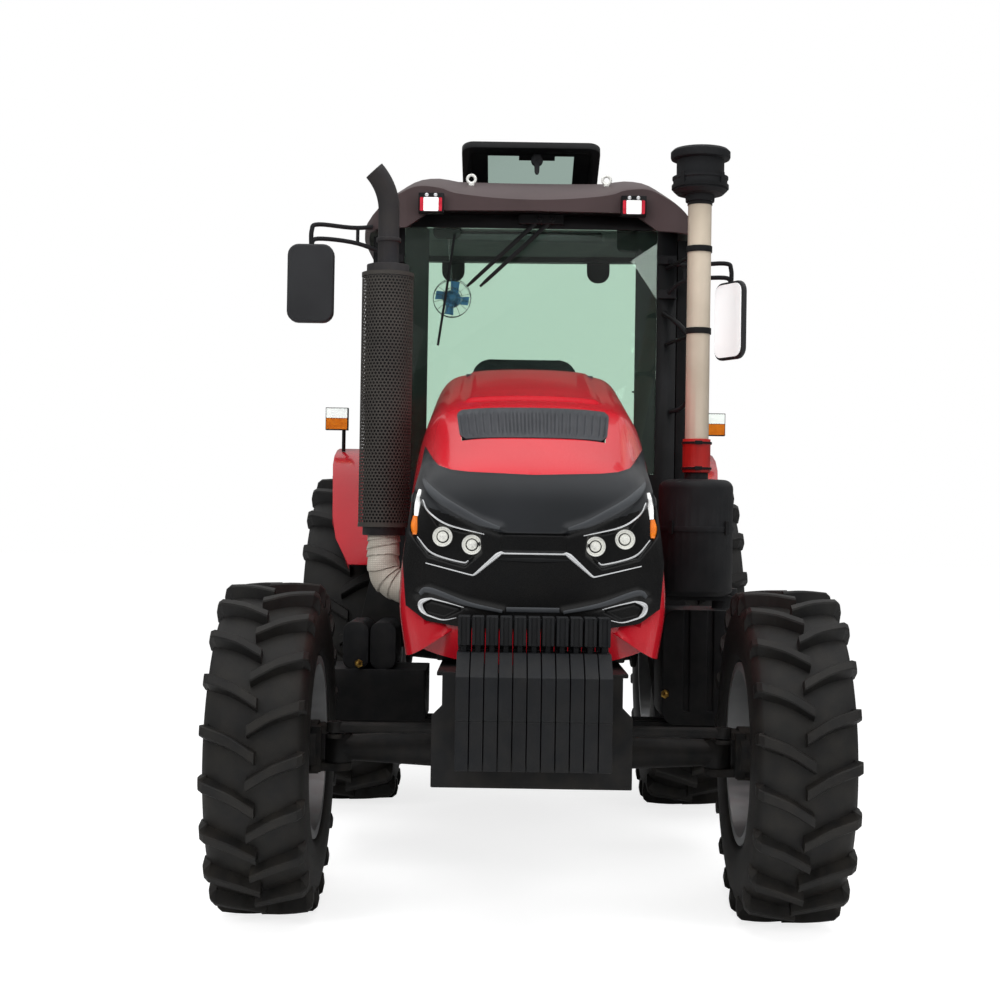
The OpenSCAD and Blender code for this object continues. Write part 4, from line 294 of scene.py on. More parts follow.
# The mirror glass glows near white: a painted reflection of the sky.
mirror_glass_painted_sky = finish("mirror_glass_painted_sky", "#eef0f0", "#e4e7e8", 4, (0.05, 0.1), 0, 500, fixed=glow(0.45))
mirror_case = finish("mirror_case", "#28292b", "#222325", 7, (0.4, 0.52), 0.2, 1100)
print("finishes:", len(bpy.data.materials))

# %% [markdown]
# Glass bends light, and lamps don't shine through it in a plain render. A Transparent shader takes its place for
# shadow rays only, so that the cab inside gets its light. Smears show as a little roughness here and there.

# %% Glass
def glass(name, tint, smear, bend=1.45):
    mat = bpy.data.materials.new(name)
    mat.use_nodes = True
    tree = mat.node_tree
    shader, out = tree.nodes["Principled BSDF"], tree.nodes["Material Output"]
    place = node(tree, "ShaderNodeTexCoord").outputs["Object"]
    smears = spread(tree, noise(tree, place, 3, 6), 0, smear, 0.45, 0.8)
    given = {"Base Color": colour(tint), "Transmission Weight": 1, "IOR": bend, "Roughness": smears}
    for key, value in given.items():
        fill(tree, shader.inputs[key], value)
    clear = first_of(tree, "ShaderNodeBsdfTransparent", {"Color": colour(tint)})
    shadow = node(tree, "ShaderNodeLightPath").outputs["Is Shadow Ray"]
    either = first_of(tree, "ShaderNodeMixShader", {0: shadow, 1: shader.outputs[0], 2: clear})
    tree.links.new(either, out.inputs["Surface"])
    return mat

cab_green = glass("cab_green_glass", "#d8ebdf", 0.05)
hatch_smoke = glass("hatch_smoke_glass", "#93a59d", 0.05, 1.08)
print("glass:", cab_green.name, hatch_smoke.name)

# %% [markdown]
# ## Soft edges for the solids
# A real casting, sheet or moulding has no knife edge: its small rounding catches the light. A copy of each solid is
# merged, its flat triangles are joined into whole faces, and a Bevel rounds the edges that are sharp. Modelling every
# rounding in the source would make it heavy, and a bevel in the shader would be lost on export.

# %% Helpers that keep a piece
def linked(name, mesh):
    obj = bpy.data.objects.new(name, mesh)
    scene.collection.objects.link(obj)
    return obj

def mesh_of(bm, name):
    mesh = bpy.data.meshes.new(name)
    bm.to_mesh(mesh)
    bm.free()
    return mesh

def keep(name, mesh, finishes, body, slot, *nodes):
    mesh.name = name
    mesh.materials.clear()
    for mat in finishes if isinstance(finishes, (list, tuple)) else [finishes]:
        mesh.materials.append(mat)
    obj = linked(name, mesh)
    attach(obj, body)
    if nodes:
        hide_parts(*nodes)
    return obj

def baked(obj):
    mesh = bpy.data.meshes.new_from_object(obj.evaluated_get(bpy.context.evaluated_depsgraph_get()))
    bpy.data.objects.remove(obj)
    return mesh

def merged_copy(name):
    bm = bmesh.new()
    bm.from_mesh(frame["nodes"][name].data)
    bmesh.ops.remove_doubles(bm, verts=bm.verts, dist=0.00002)
    bmesh.ops.dissolve_limit(bm, angle_limit=math.radians(0.6), verts=bm.verts, edges=bm.edges)
    return bm

def rounded_mesh(bm, width, sharp=32, segments=2):
    obj = linked("rounded", mesh_of(bm, "rounded"))
    bevel = obj.modifiers.new("rounding", "BEVEL")
    bevel.width, bevel.segments = width, segments
    bevel.limit_method, bevel.angle_limit = "ANGLE", math.radians(sharp)
    bevel.harden_normals = True
    obj.data.shade_smooth()
    return baked(obj)

def softened(name, mat, width):
    mesh = rounded_mesh(merged_copy(name), width)
    return keep(name + "_soft", mesh, mat, body_of_node[name], slot_of_node[name], name)

# %% Round the edges
soft_nodes = {
    "chassis_frame": (black_paint, 0.006), "weight_bracket": (black_paint, 0.004),
    "engine_block": (casting, 0.008), "gearbox": (casting, 0.012), "rear_axle_housing": (casting, 0.01),
    "front_axle_beam": (black_paint, 0.004), "steering_cylinder": (black_paint, 0.003),
    "steering_rod": (black_paint, 0.003), "front_knuckle_left": (casting, 0.004),
    "front_knuckle_right": (casting, 0.004), "front_rim_left": (rim_silver, 0.003),
    "front_rim_right": (rim_silver, 0.003), "rear_rim_left": (rim_silver, 0.004),
    "rear_rim_right": (rim_silver, 0.004),
    "side_carriers": (black_paint, 0.003), "fuel_tank": (black_plastic, 0.01), "battery_box": (black_plastic, 0.008),
    "steps": (black_paint, 0.002), "exhaust_stack": (exhaust_steel, 0.003), "exhaust_elbow": (wrap_cloth, 0.004),
    "air_cleaner": (black_plastic, 0.005), "intake_hose": (hose_red, 0.003), "intake_stack": (pipe_beige, 0.002),
    "intake_straps": (black_paint, 0.002), "cab_frame": (frame_black, 0.005), "door_frame_left": (frame_black, 0.004),
    "door_frame_right": (frame_black, 0.004), "hatch_frame": (frame_black, 0.006),
    "cab_controls": (black_plastic, 0.006), "drawbar": (black_paint, 0.005), "hitch_carrier": (black_paint, 0.005),
    "lift_arms": (casting, 0.005), "lift_rods": (black_paint, 0.003), "lower_links": (black_paint, 0.005),
    "top_link": (black_paint, 0.004), "lamps": (frame_black, 0.003),
}
pieces = [softened(name, mat, width) for name, (mat, width) in soft_nodes.items()]

def share(value, start, end):
    """From 0 at the start to 1 at the end, and no further."""
    return np.clip((value - start) / (end - start), 0, 1)

# The fenders draw in towards their front and towards their lower end.
fender_front_half, fender_wider, fender_tuck = 0.955, 0.057, 0.085
fender = merged_copy("fenders")
for v in fender.verts:
    limit = fender_front_half + fender_wider * share(v.co.y, 0.35, 0.85) - fender_tuck * share(v.co.z, 1.5, 1.33) ** 2
    v.co.x = math.copysign(min(abs(v.co.x), limit), v.co.x)
keep("fenders_soft", rounded_mesh(fender, 0.006), red_paint, "chassis", "red_paint", "fenders")
pane_edge = 0.0015
for name in ("cab_glass", "door_glass_left", "door_glass_right"):
    pieces.append(softened(name, cab_green, pane_edge))
pieces.append(softened("hatch_glass", hatch_smoke, pane_edge))
print("softened:", len(pieces), "faces:", sum(len(p.data.polygons) for p in pieces))

# %% [markdown]
# ## Pieces that repeat
# Lugs, bolts, holes and weights repeat by a rule, so Geometry Nodes place them. Each tree has named inputs, ends in
# Realize Instances and Set Material, and is turned into a plain mesh straight away, because instances and live
# modifiers are lost on export. The first tree sets copies of a shape round the X axis, the second in a row.

# %% Tree builders
def new_tree(name, sockets):
    tree = bpy.data.node_groups.new(name, "GeometryNodeTree")
    for label, kind in sockets:
        tree.interface.new_socket(label, in_out="INPUT", socket_type="NodeSocket" + kind)
    tree.interface.new_socket("Geometry", in_out="OUTPUT", socket_type="NodeSocketGeometry")
    return tree, tree.nodes.new("NodeGroupInput").outputs

def close_tree(tree, shape, mat):
    real = first_of(tree, "GeometryNodeRealizeInstances", {0: shape})
    done = first_of(tree, "GeometryNodeSetMaterial", {"Geometry": real, "Material": mat})
    tree.links.new(done, tree.nodes.new("NodeGroupOutput").inputs[0])
    return tree

def grown(name, tree, values, base=None):
    obj = linked(name, base or bpy.data.meshes.new(name))
    mod = obj.modifiers.new(name, "NODES")
    mod.node_group = tree
    for item in tree.interface.items_tree:
        if item.in_out == "INPUT" and item.name in values:
            mod[item.identifier] = values[item.name]
    return baked(obj)

def shape_object(name, bm):
    bmesh.ops.recalc_face_normals(bm, faces=bm.faces)
    return bpy.data.objects.new(name, mesh_of(bm, name))

def repeated(name, tree, one, mat, **values):
    """Mesh of one object repeated by a tree; the object itself isn't kept."""
    mesh = grown(name, tree, {"Piece": one, "Finish": mat, **values})
    bpy.data.objects.remove(one)
    return mesh

def copies(tree, given, spots, turn=(0, 0, 0)):
    shape = node(tree, "GeometryNodeObjectInfo", {"Object": given["Piece"]}).outputs["Geometry"]
    return first_of(tree, "GeometryNodeInstanceOnPoints", {"Points": spots, "Instance": shape, "Rotation": turn})

def ring_tree():
    tree, given = new_tree("ring_of_pieces", [("Piece", "Object"), ("Count", "Int"), ("Start", "Float"),
                                              ("Place", "Vector"), ("Finish", "Material")])
    spots = first_of(tree, "GeometryNodeMeshLine", {"Count": given["Count"], "Offset": (0, 0, 0)})
    share = math_node(tree, "DIVIDE", tree.nodes.new("GeometryNodeInputIndex").outputs[0], given["Count"])
    angle = math_node(tree, "ADD", math_node(tree, "MULTIPLY", share, 2 * math.pi), given["Start"])
    ring = copies(tree, given, spots, first_of(tree, "ShaderNodeCombineXYZ", {"X": angle}))
    moved = first_of(tree, "GeometryNodeTransform", {"Geometry": ring, "Translation": given["Place"]})
    return close_tree(tree, moved, given["Finish"])

def row_tree():
    tree, given = new_tree("row_of_pieces", [("Piece", "Object"), ("Count", "Int"), ("First", "Vector"),
                                             ("Step", "Vector"), ("Finish", "Material")])
    spots = first_of(tree, "GeometryNodeMeshLine", {"Count": given["Count"], "Start Location": given["First"],
                                                    "Offset": given["Step"]})
    return close_tree(tree, copies(tree, given, spots), given["Finish"])

ring_of_pieces, row_of_pieces = ring_tree(), row_tree()
print("trees:", [t.name for t in bpy.data.node_groups])

# %% [markdown]
# ## Tyres
# A field tyre has a round casing with two rows of deep bars. Each bar runs from just past the middle out to the
# shoulder, bends half-way and carries on down the side wall. The casing is a profile turned about the axle, and one
# bar is modelled from its stations and set round it, each row half a pitch from the other.

# %% Turned shapes
def bridge(bm, one, two):
    """Closed band of faces between two rings of points."""
    for i in range(len(one)):
        j = (i + 1) % len(one)
        bm.faces.new((one[i], one[j], two[j], two[i]))

def closed(bm, one, two):
    bridge(bm, one, two)
    bm.faces.new(list(reversed(one)))
    bm.faces.new(two)

def turned(bm, profile, steps, middle=(0, 0, 0), axis="X"):
    """Closed ring from (along, radius) points, turned about the axis through the middle point."""
    rings = []
    for i in range(steps):
        a = 2 * math.pi * i / steps
        c, s = math.cos(a), math.sin(a)
        turn = {"X": lambda u, r: (u, r * s, r * c), "Z": lambda u, r: (r * c, r * s, u),
                "Y": lambda u, r: (r * s, u, r * c)}[axis]
        rings.append([bm.verts.new(Vector(turn(u, r)) + Vector(middle)) for u, r in profile])
    for one, two in zip(rings, rings[1:] + rings[:1]):
        bridge(bm, one, two)

def smooth_mesh(bm, sharp=35):
    bmesh.ops.recalc_face_normals(bm, faces=bm.faces)
    for f in bm.faces:
        f.smooth = True
    for e in bm.edges:
        e.smooth = not (len(e.link_faces) == 2 and e.calc_face_angle() > math.radians(sharp))
    return mesh_of(bm, "smooth")

# %% One bar and one casing
bar_stations = [(-0.08, -0.31, 0), (0.28, -0.09, 0), (0.42, -0.015, 0.01), (0.62, 0.065, 0.05), (0.88, 0.155, 0.16),
                (0.97, 0.19, 0.5), (1.0, 0.205, 1.1), (0.985, 0.21, 2.0)]

def lug_bar(radius, half, pitch, height, side):
    bm = bmesh.new()
    top, root, chamfer = 0.2 * pitch, 0.3 * pitch, 0.12 * height
    rings = []
    for x, along, drop in bar_stations:
        face = radius - drop * height
        foot_x, foot = min(x, 0.84), min(radius - 1.3 * height, face - 0.6 * height)
        section = [(foot_x, -root / 2, foot), (x, -top / 2, face - chamfer), (x, -top / 2 + chamfer, face),
                   (x, top / 2 - chamfer, face), (x, top / 2, face - chamfer), (foot_x, root / 2, foot)]
        ring = []
        for sx, s, rho in section:
            a = (along * pitch + s) / radius
            ring.append(bm.verts.new((side * sx * half, rho * math.sin(a), rho * math.cos(a))))
        rings.append(ring)
    for one, two in zip(rings, rings[1:]):
        bridge(bm, one, two)
    bm.faces.new(rings[0])
    bm.faces.new(rings[-1])
    return bm

def casing_profile(radius, half, height, bead, bead_half):
    crown = radius - height
    side = [(bead_half - 0.002, bead + 0.001), (bead_half - 0.002, bead + 0.026)]
    side += [(wide * half, bead + up) for wide, up in ((0.9, 0.035), (0.95, 0.055), (0.955, 0.062), (0.97, 0.07))]
    side += [(wide * half, bead + up * (crown - bead))
             for wide, up in ((0.995, 0.45), (0.985, 0.7), (0.94, 0.86), (0.82, 0.95))]
    side += [(0.55 * half, crown - 0.004), (0.2 * half, crown)]
    return side + [(-x, r) for x, r in reversed(side)]

# %% The four tyres
def tyre(name, lugs, height, bead, bead_half):
    low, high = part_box(name)
    middle = [(a + b) / 2 for a, b in zip(low, high)]
    half, radius = (high[0] - low[0]) / 2, (high[2] - low[2]) / 2
    bm, whole = bmesh.new(), bmesh.new()
    turned(bm, casing_profile(radius, half, height, bead, bead_half), 72, middle)
    whole.from_mesh(smooth_mesh(bm, 40))
    pitch = 2 * math.pi * radius / lugs
    for side, start in ((1, 0), (-1, math.pi / lugs)):
        bar = shape_object(name + "_bar", lug_bar(radius, half, pitch, height, side))
        whole.from_mesh(repeated(name + "_row", ring_of_pieces, bar, tyre_rubber, Count=lugs, Start=start,
                                 Place=middle))
    return keep(name + "_dressed", mesh_of(whole, name), tyre_rubber, body_of_node[name], slot_of_node[name], name)

for side in ("left", "right"):
    front = tyre("front_tyre_" + side, 20, 0.044, 0.330, 0.159)
    rear = tyre("rear_tyre_" + side, 22, 0.050, 0.483, 0.203)
print("faces of a front and a rear tyre:", len(front.data.polygons), len(rear.data.polygons))

# %% [markdown]
# Each rim is held to its hub by a ring of bolts. One six-sided bolt with a washer is set round the axle.

# %% Wheel bolts
def bolt(radius, height):
    bm = bmesh.new()
    for sides, wide, x0, x1 in ((12, 1.45, 0, 0.3), (6, 1, 0.3, 1)):
        angles = [2 * math.pi * i / sides for i in range(sides)]
        closed(bm, *([bm.verts.new((height * u, wide * radius * math.cos(a), wide * radius * math.sin(a)))
                      for a in angles] for u in (x0, x1)))
    return bm

def bolt_ring(name, body, middle, side, x, ring_r, count, size):
    bm = bolt(size, size * 1.3)
    bmesh.ops.transform(bm, matrix=Matrix.Translation((x, 0, ring_r)), verts=bm.verts)
    if side < 0:
        bmesh.ops.transform(bm, matrix=Matrix.Scale(-1, 4, (1, 0, 0)), verts=bm.verts)
    one = shape_object(name + "_one", bm)
    mesh = repeated(name, ring_of_pieces, one, bright_steel, Count=count, Start=0.0, Place=middle)
    return keep(name, mesh, bright_steel, body, "bright_steel")

for side, sign in (("left", 1), ("right", -1)):
    for end, x, y, z, face, ring_r, count, size in (("front", 0.986, -1.4, 0.635, 0.0515, 0.15, 10, 0.014),
                                                    ("rear", 0.8965, 1.25, 0.875, -0.0095, 0.16, 12, 0.016)):
        bolt_ring(end + "_bolts_" + side, end + "_wheel_" + side, (sign * x, y, z), sign, face, ring_r, count, size)
print("wheel bolts set")

# %% [markdown]
# ## Bonnet
# The bonnet is a pressed sheet: one cross section, drawn back along a rising top line. The solid has it in flat
# steps. Here the same rule is followed with many more sections and a smooth curve through the section's points, and a
# Solidify modifier gives the sheet its thickness. The rear half carries a low raised panel, as pressed steel often
# does to stiffen it.

# %% The rule of the bonnet
def curve_through(points, per=8):
    """Smooth line through the points, with some steps between each two of them."""
    p = np.array(points, float)
    p = np.vstack([2 * p[0] - p[1], p, 2 * p[-1] - p[-2]])
    t = np.linspace(0, 1, per, endpoint=False)[:, None]
    parts = [0.5 * (2 * b + (c - a) * t + (2 * a - 5 * b + 4 * c - d) * t**2 + (3 * b - a - 3 * c + d) * t**3)
             for a, b, c, d in zip(p, p[1:], p[2:], p[3:])]
    return np.vstack(parts + [p[-2:-1]])

nose_y, nose_back_y, bonnet_rear_y = -1.96, -1.7, -0.19
bonnet_half, nose_foot_z, nose_top_z = 0.485, 1.035, 1.7
nose_tall = 0.665
section = curve_through([(0.95, 0), (1, 0.25), (0.985, 0.47), (0.93, 0.7), (0.85, 0.86), (0.72, 0.955), (0.5, 0.985),
                         (0.25, 0.997), (0, 1)])
section[:, 1] = np.maximum.accumulate(np.minimum(section[:, 1], 1))

def top_line(y):
    front = nose_top_z + (y + 1.9) * 0.29 / 0.6
    back = 1.99 + (y + 1.3) * 0.225 / 1.11
    return (front + back) / 2 - np.sqrt(((front - back) / 2) ** 2 + 0.01**2)

def foot_line(y):
    return np.interp(y, [-1.6, -1.15, bonnet_rear_y], [nose_foot_z, 1.3, 1.42])

def step_up(t):
    t = np.clip(t, 0, 1)
    return t * t * (3 - 2 * t)

def at_points(x, y, z):
    return np.stack(np.broadcast_arrays(x, y, z), axis=-1)

way_up, way_ahead = Vector((0, 0, 1)), Vector((0, -1, 0))

def facing(bm, way):
    """Turns the faces of a sheet so that the outermost one in a direction looks that way."""
    bmesh.ops.recalc_face_normals(bm, faces=bm.faces)
    if max(bm.faces, key=lambda f: f.calc_center_median().dot(way)).normal.dot(way) < 0:
        bmesh.ops.reverse_faces(bm, faces=bm.faces)
    return bm

def grid_mesh(points):
    """Sheet from a grid of points, rows by columns."""
    rows, columns = points.shape[:2]
    bm = bmesh.new()
    verts = [[bm.verts.new(p) for p in row] for row in points]
    for i in range(rows - 1):
        for j in range(columns - 1):
            bm.faces.new((verts[i][j], verts[i][j + 1], verts[i + 1][j + 1], verts[i + 1][j]))
    return bm

def thick_mesh(bm, thickness, offset=-1, sharp=40, cutter=None, even=True):
    obj = linked("sheet", mesh_of(bm, "sheet"))
    solid = obj.modifiers.new("thickness", "SOLIDIFY")
    solid.thickness, solid.offset, solid.use_even_offset = thickness, offset, even
    if cutter:
        cut = obj.modifiers.new("opening", "BOOLEAN")
        cut.object, cut.operation, cut.solver = cutter, "DIFFERENCE", "EXACT"
        scene.collection.objects.link(cutter)
    bm = bmesh.new()
    bm.from_mesh(baked(obj))
    if cutter:
        bpy.data.objects.remove(cutter)
    return smooth_mesh(bm, sharp)

# %% The sheet with its opening for the vent
vent_y0, vent_y1 = -1.615, -1.345
vent_half = (0.27, 0.295)
vent_corners = ((-vent_half[0], vent_y0), (vent_half[0], vent_y0), (vent_half[1], vent_y1), (-vent_half[1], vent_y1))

def vent_cutter():
    bm = bmesh.new()
    closed(bm, *([bm.verts.new((x, y, top_line(y) + up)) for x, y in vent_corners] for up in (-0.05, 0.05)))
    return shape_object("vent_cutter", bm)

half_x = np.concatenate([section[:, 0], -section[-2::-1, 0]]) * bonnet_half
half_h = np.concatenate([section[:, 1], section[-2::-1, 1]])
ys = np.linspace(nose_back_y, bonnet_rear_y, 70)
sheet = np.zeros((len(ys), len(half_x), 3))
for i, y in enumerate(ys):
    top, foot = top_line(y), foot_line(y)
    panel = 0.012 * step_up((y + 1.2) / 0.05) * step_up((0.285 - np.abs(half_x)) / 0.03) * (half_h > 0.9)
    sheet[i] = at_points(half_x, y, foot + (top - foot) * half_h + panel)
hood = thick_mesh(facing(grid_mesh(sheet), way_up), 0.007, cutter=vent_cutter())
keep("bonnet_sheet", hood, red_paint, "bonnet", "red_paint", "bonnet")
print("bonnet faces:", len(hood.polygons))

# %% [markdown]
# The vent is a moulded panel with closely set ribs. It is a sheet on the same rule, a little above the paint, and its
# height goes up and down from rib to rib.

# %% The vent's ribs
ribs, rib_top, rib_groove, vent_lap = 19, 0.004, -0.003, 0.006
across = np.linspace(-1, 1, 4 * ribs + 5)
rib_up = np.where(np.arange(len(across)) % 4 < 2, rib_top, rib_groove)
rib_up[[0, 1, -2, -1]] = rib_top
panel_ys = np.linspace(vent_y0 - vent_lap, vent_y1 + vent_lap, 16)
vent = np.zeros((len(panel_ys), len(across), 3))
for i, y in enumerate(panel_ys):
    edge = min(i, len(panel_ys) - 1 - i)
    wide = np.interp(y, [vent_y0, vent_y1], vent_half) + vent_lap - 0.022 * (1 - min(edge / 3, 1)) ** 2
    bow = y + 0.012 * across**2
    top, foot = top_line(bow), foot_line(bow)
    rise = np.interp(np.abs(across * wide) / bonnet_half, section[::-1, 0], section[::-1, 1])
    vent[i] = at_points(across * wide, bow, foot + (top - foot) * rise + (rib_up if edge > 1 else rib_top))
ribbed = thick_mesh(facing(grid_mesh(vent), way_up), 0.006, even=False)
keep("vent_ribs", ribbed, grille_plastic, "bonnet", "grille_plastic", "bonnet_vent")
print("vent ribs:", ribs)

# %% [markdown]
# ## Nose and mask
# The nose closes the bonnet in front: its sections shrink towards the grille. The depth of the nose at any place of
# the front view is found by halving: of all sections, the foremost one that still holds the place. With that, the
# mask can be drawn in the front view as a grid between its lower and upper edge and laid on the nose.

# %% Depth of the nose
rings = curve_through([(0, 1, 0, 0), (0.4, 0.995, 0, 0), (0.7, 0.98, 0.01, 0), (0.86, 0.95, 0.04, 0.005),
                       (0.95, 0.9, 0.1, 0.02), (0.985, 0.8, 0.2, 0.06), (1, 0.5, 0.4, 0.2)], 6)
rings[:, 0] = np.maximum.accumulate(np.minimum(rings[:, 0], 1))

def nose_depth(x, z, lift=0.0):
    x, z = np.broadcast_arrays(np.abs(np.asarray(x, float)), np.asarray(z, float))
    low, high = np.zeros(x.shape), np.ones(x.shape)
    for _ in range(26):
        g = (low + high) / 2
        wide, drop, rise = (np.interp(g, rings[:, 0], rings[:, k]) for k in (1, 2, 3))
        top = top_line(nose_back_y + (nose_y - nose_back_y) * g) - nose_tall * drop + lift
        foot = nose_foot_z + nose_tall * rise - lift
        h = (z - foot) / (top - foot)
        room = (bonnet_half * wide + lift) * np.interp(h, section[:, 1], section[:, 0])
        inside = (h >= 0) & (h <= 1) & (x <= room)
        low, high = np.where(inside, g, low), np.where(inside, high, g)
    return nose_back_y + (nose_y - lift - nose_back_y) * low

def blurred(grid, times):
    for _ in range(times):
        p = np.pad(grid, 1, mode="edge")
        grid = (4 * grid + p[:-2, 1:-1] + p[2:, 1:-1] + p[1:-1, :-2] + p[1:-1, 2:]) / 8
    return grid

def line_distance(x, z, points):
    """How far each place, or its mirror image, lies from a line."""
    x, near = np.abs(x), np.full(np.shape(x), 9.0)
    for (x0, z0), (x1, z1) in zip(points, points[1:]):
        t = np.clip(((x - x0) * (x1 - x0) + (z - z0) * (z1 - z0)) / ((x1 - x0) ** 2 + (z1 - z0) ** 2), 0, 1)
        near = np.minimum(near, np.hypot(x - x0 - t * (x1 - x0), z - z0 - t * (z1 - z0)))
    return near

def inside_by(x, z, outline):
    """How far each place lies inside the outline (below zero outside)."""
    ring = outline + outline[:1]
    near, x = line_distance(x, z, ring), np.abs(x)
    odd = np.zeros(x.shape, bool)
    for (x0, z0), (x1, z1) in zip(ring, ring[1:]):
        with np.errstate(divide="ignore", invalid="ignore"):
            odd ^= ((z0 > z) != (z1 > z)) & (x < (x1 - x0) * (z - z0) / (z1 - z0) + x0)
    return np.where(odd, near, -near)

# %% The red nose
mask_foot = [(0, 1.138), (0.2377, 1.138), (0.378, 1.161), (0.451, 1.2145)]
mask_side = [(0.451, 1.2145), (0.4666, 1.381), (0.44, 1.597), (0.404, 1.8)]
mask_top = [(0, 1.69), (0.236, 1.6985), (0.3, 1.706), (0.347, 1.722), (0.375, 1.75), (0.404, 1.8)]
mask_outline = mask_foot[:-1] + mask_side[:-1] + mask_top[::-1] + [(-0.3, 1.69), (-0.3, 1.138)]
steps = np.concatenate([np.linspace(0, 0.9, 14, endpoint=False), np.linspace(0.9, 1, 14)])
shell = np.zeros((len(steps) + 1, len(half_x), 3))
for i, g in enumerate(steps):
    wide, drop, rise = (np.interp(g, rings[:, 0], rings[:, k]) for k in (1, 2, 3))
    y = nose_back_y + (nose_y - nose_back_y) * g
    top, foot = top_line(y) - nose_tall * drop, nose_foot_z + nose_tall * rise
    shell[i] = at_points(half_x * wide, y, foot + (top - foot) * half_h)
shell[-1] = shell[-2] * [0.02, 1, 0.02] + [0, 0, 0.98 * 1.25]
hidden = step_up((inside_by(shell[..., 0], shell[..., 2], mask_outline) - 0.012) / 0.03)
shell[..., 1] += 0.06 * hidden * (shell[..., 1] < nose_back_y - 0.1)
bm = grid_mesh(shell)
bmesh.ops.contextual_create(bm, geom=[v for v in bm.verts if v.co.y < nose_y + 0.1 and abs(v.co.x) < 0.0105])
bmesh.ops.recalc_face_normals(bm, faces=bm.faces)
nose_piece = keep("nose_sheet", thick_mesh(bm, 0.005, even=False), red_paint, "bonnet", "red_paint", "nose_panel")
print("nose faces:", len(nose_piece.data.polygons))

# %% [markdown]
# Below the mask the sheet turns down to a chin that hangs lowest in the middle, just above the tray of the frame.

# %% Chin
chin_half, chin_top, chin_low, chin_rise = 0.425, 1.2, 1.006, 0.07
u, v = np.meshgrid(np.linspace(-1, 1, 61), np.linspace(0, 1, 14))
chin_x = u * chin_half
chin_z = chin_top + v * (chin_low + chin_rise * np.abs(u) ** 3 - chin_top)
chin_y = nose_depth(chin_x * 0.97, np.full_like(chin_x, 1.24)) + 0.012 + 0.05 * step_up(v) * v
bm = grid_mesh(at_points(chin_x, chin_y, chin_z))
bmesh.ops.recalc_face_normals(bm, faces=bm.faces)
chin = keep("nose_chin", thick_mesh(bm, 0.005, 0, even=False), red_paint, "bonnet", "red_paint")
print("chin faces:", len(chin.data.polygons))

# %% The black mask
lamp_outline = [(0.439, 1.647), (0.335, 1.5105), (0.1867, 1.479), (0.1795, 1.404), (0.2425, 1.351), (0.378, 1.387),
                (0.446, 1.474)]
fog_outline = [(0.23, 1.209), (0.362, 1.243), (0.4, 1.226), (0.378, 1.183), (0.313, 1.167)]
brow_line = [(0.1216, 1.4945), (0.19, 1.515), (0.258, 1.549), (0.3266, 1.59), (0.3744, 1.631), (0.4017, 1.669)]
fog_ridge = [(0.108, 1.2008), (0.2377, 1.2281), (0.3675, 1.2725), (0.4017, 1.2588)]
mask_lift = 0.014

def mask_relief(x, z):
    """How far the mask stands out of its plain surface at each place."""
    panel = 0.007
    relief = 0.014 * np.exp(-(line_distance(x, z, brow_line) / 0.016) ** 2)
    relief += 0.01 * np.exp(-(line_distance(x, z, fog_ridge) / 0.014) ** 2)
    relief -= 0.03 * step_up(inside_by(x, z, lamp_outline) / 0.016)
    relief -= 0.012 * step_up(inside_by(x, z, fog_outline) / 0.014)
    for inside in (0.118 - np.abs(x), z - 1.409, 1.478 - z):
        panel = panel * step_up(inside / 0.006)
    relief -= panel
    return relief

def mask_y(x, z):
    return nose_depth(x, z, mask_lift) - mask_relief(np.asarray(x, float), np.asarray(z, float))

u, v = np.meshgrid(np.linspace(-1, 1, 241), np.linspace(0, 1, 121))
(foot_x, foot_z), (side_x, side_z), (top_x, top_z) = (zip(*line) for line in (mask_foot, mask_side, mask_top))
mask_x = u * np.interp(side_z[0] + v * (side_z[-1] - side_z[0]), side_z, side_x)
lower = np.interp(np.abs(u) * foot_x[-1], foot_x, foot_z)
upper = np.interp(np.abs(u) * top_x[-1], top_x, top_z)
mask_z = blurred((1 - v) * lower + v * upper, 6)
plain_y = blurred(nose_depth(mask_x, mask_z, mask_lift), 12)
bm = facing(grid_mesh(at_points(mask_x, plain_y - mask_relief(mask_x, mask_z), mask_z)), way_ahead)
mask_piece = keep("nose_mask_moulding", thick_mesh(bm, 0.01, sharp=60, even=False), [mask_gloss, mask_painted_sheen],
                  "bonnet", "black_plastic", "nose_mask")
# Faces above this line take the lighter black, a painted reflection of the sky on the mask's upper part.
for face in mask_piece.data.polygons:
    x, _, z = face.center
    face.material_index = int(z > 1.48 + 0.33 * max(abs(x) - 0.12, 0))
print("mask faces:", len(mask_piece.data.polygons))

# %% [markdown]
# ## Trim of the nose
# Bright strips, brows and the rims of the fog slots follow lines on the mask. Each line is a path of points in the
# front view, laid on the mask. A tree turns the path into a curve, sweeps an oval along it and caps the ends: the
# path's own "thick" attribute gives the width at each point, so that a strip can widen and taper.

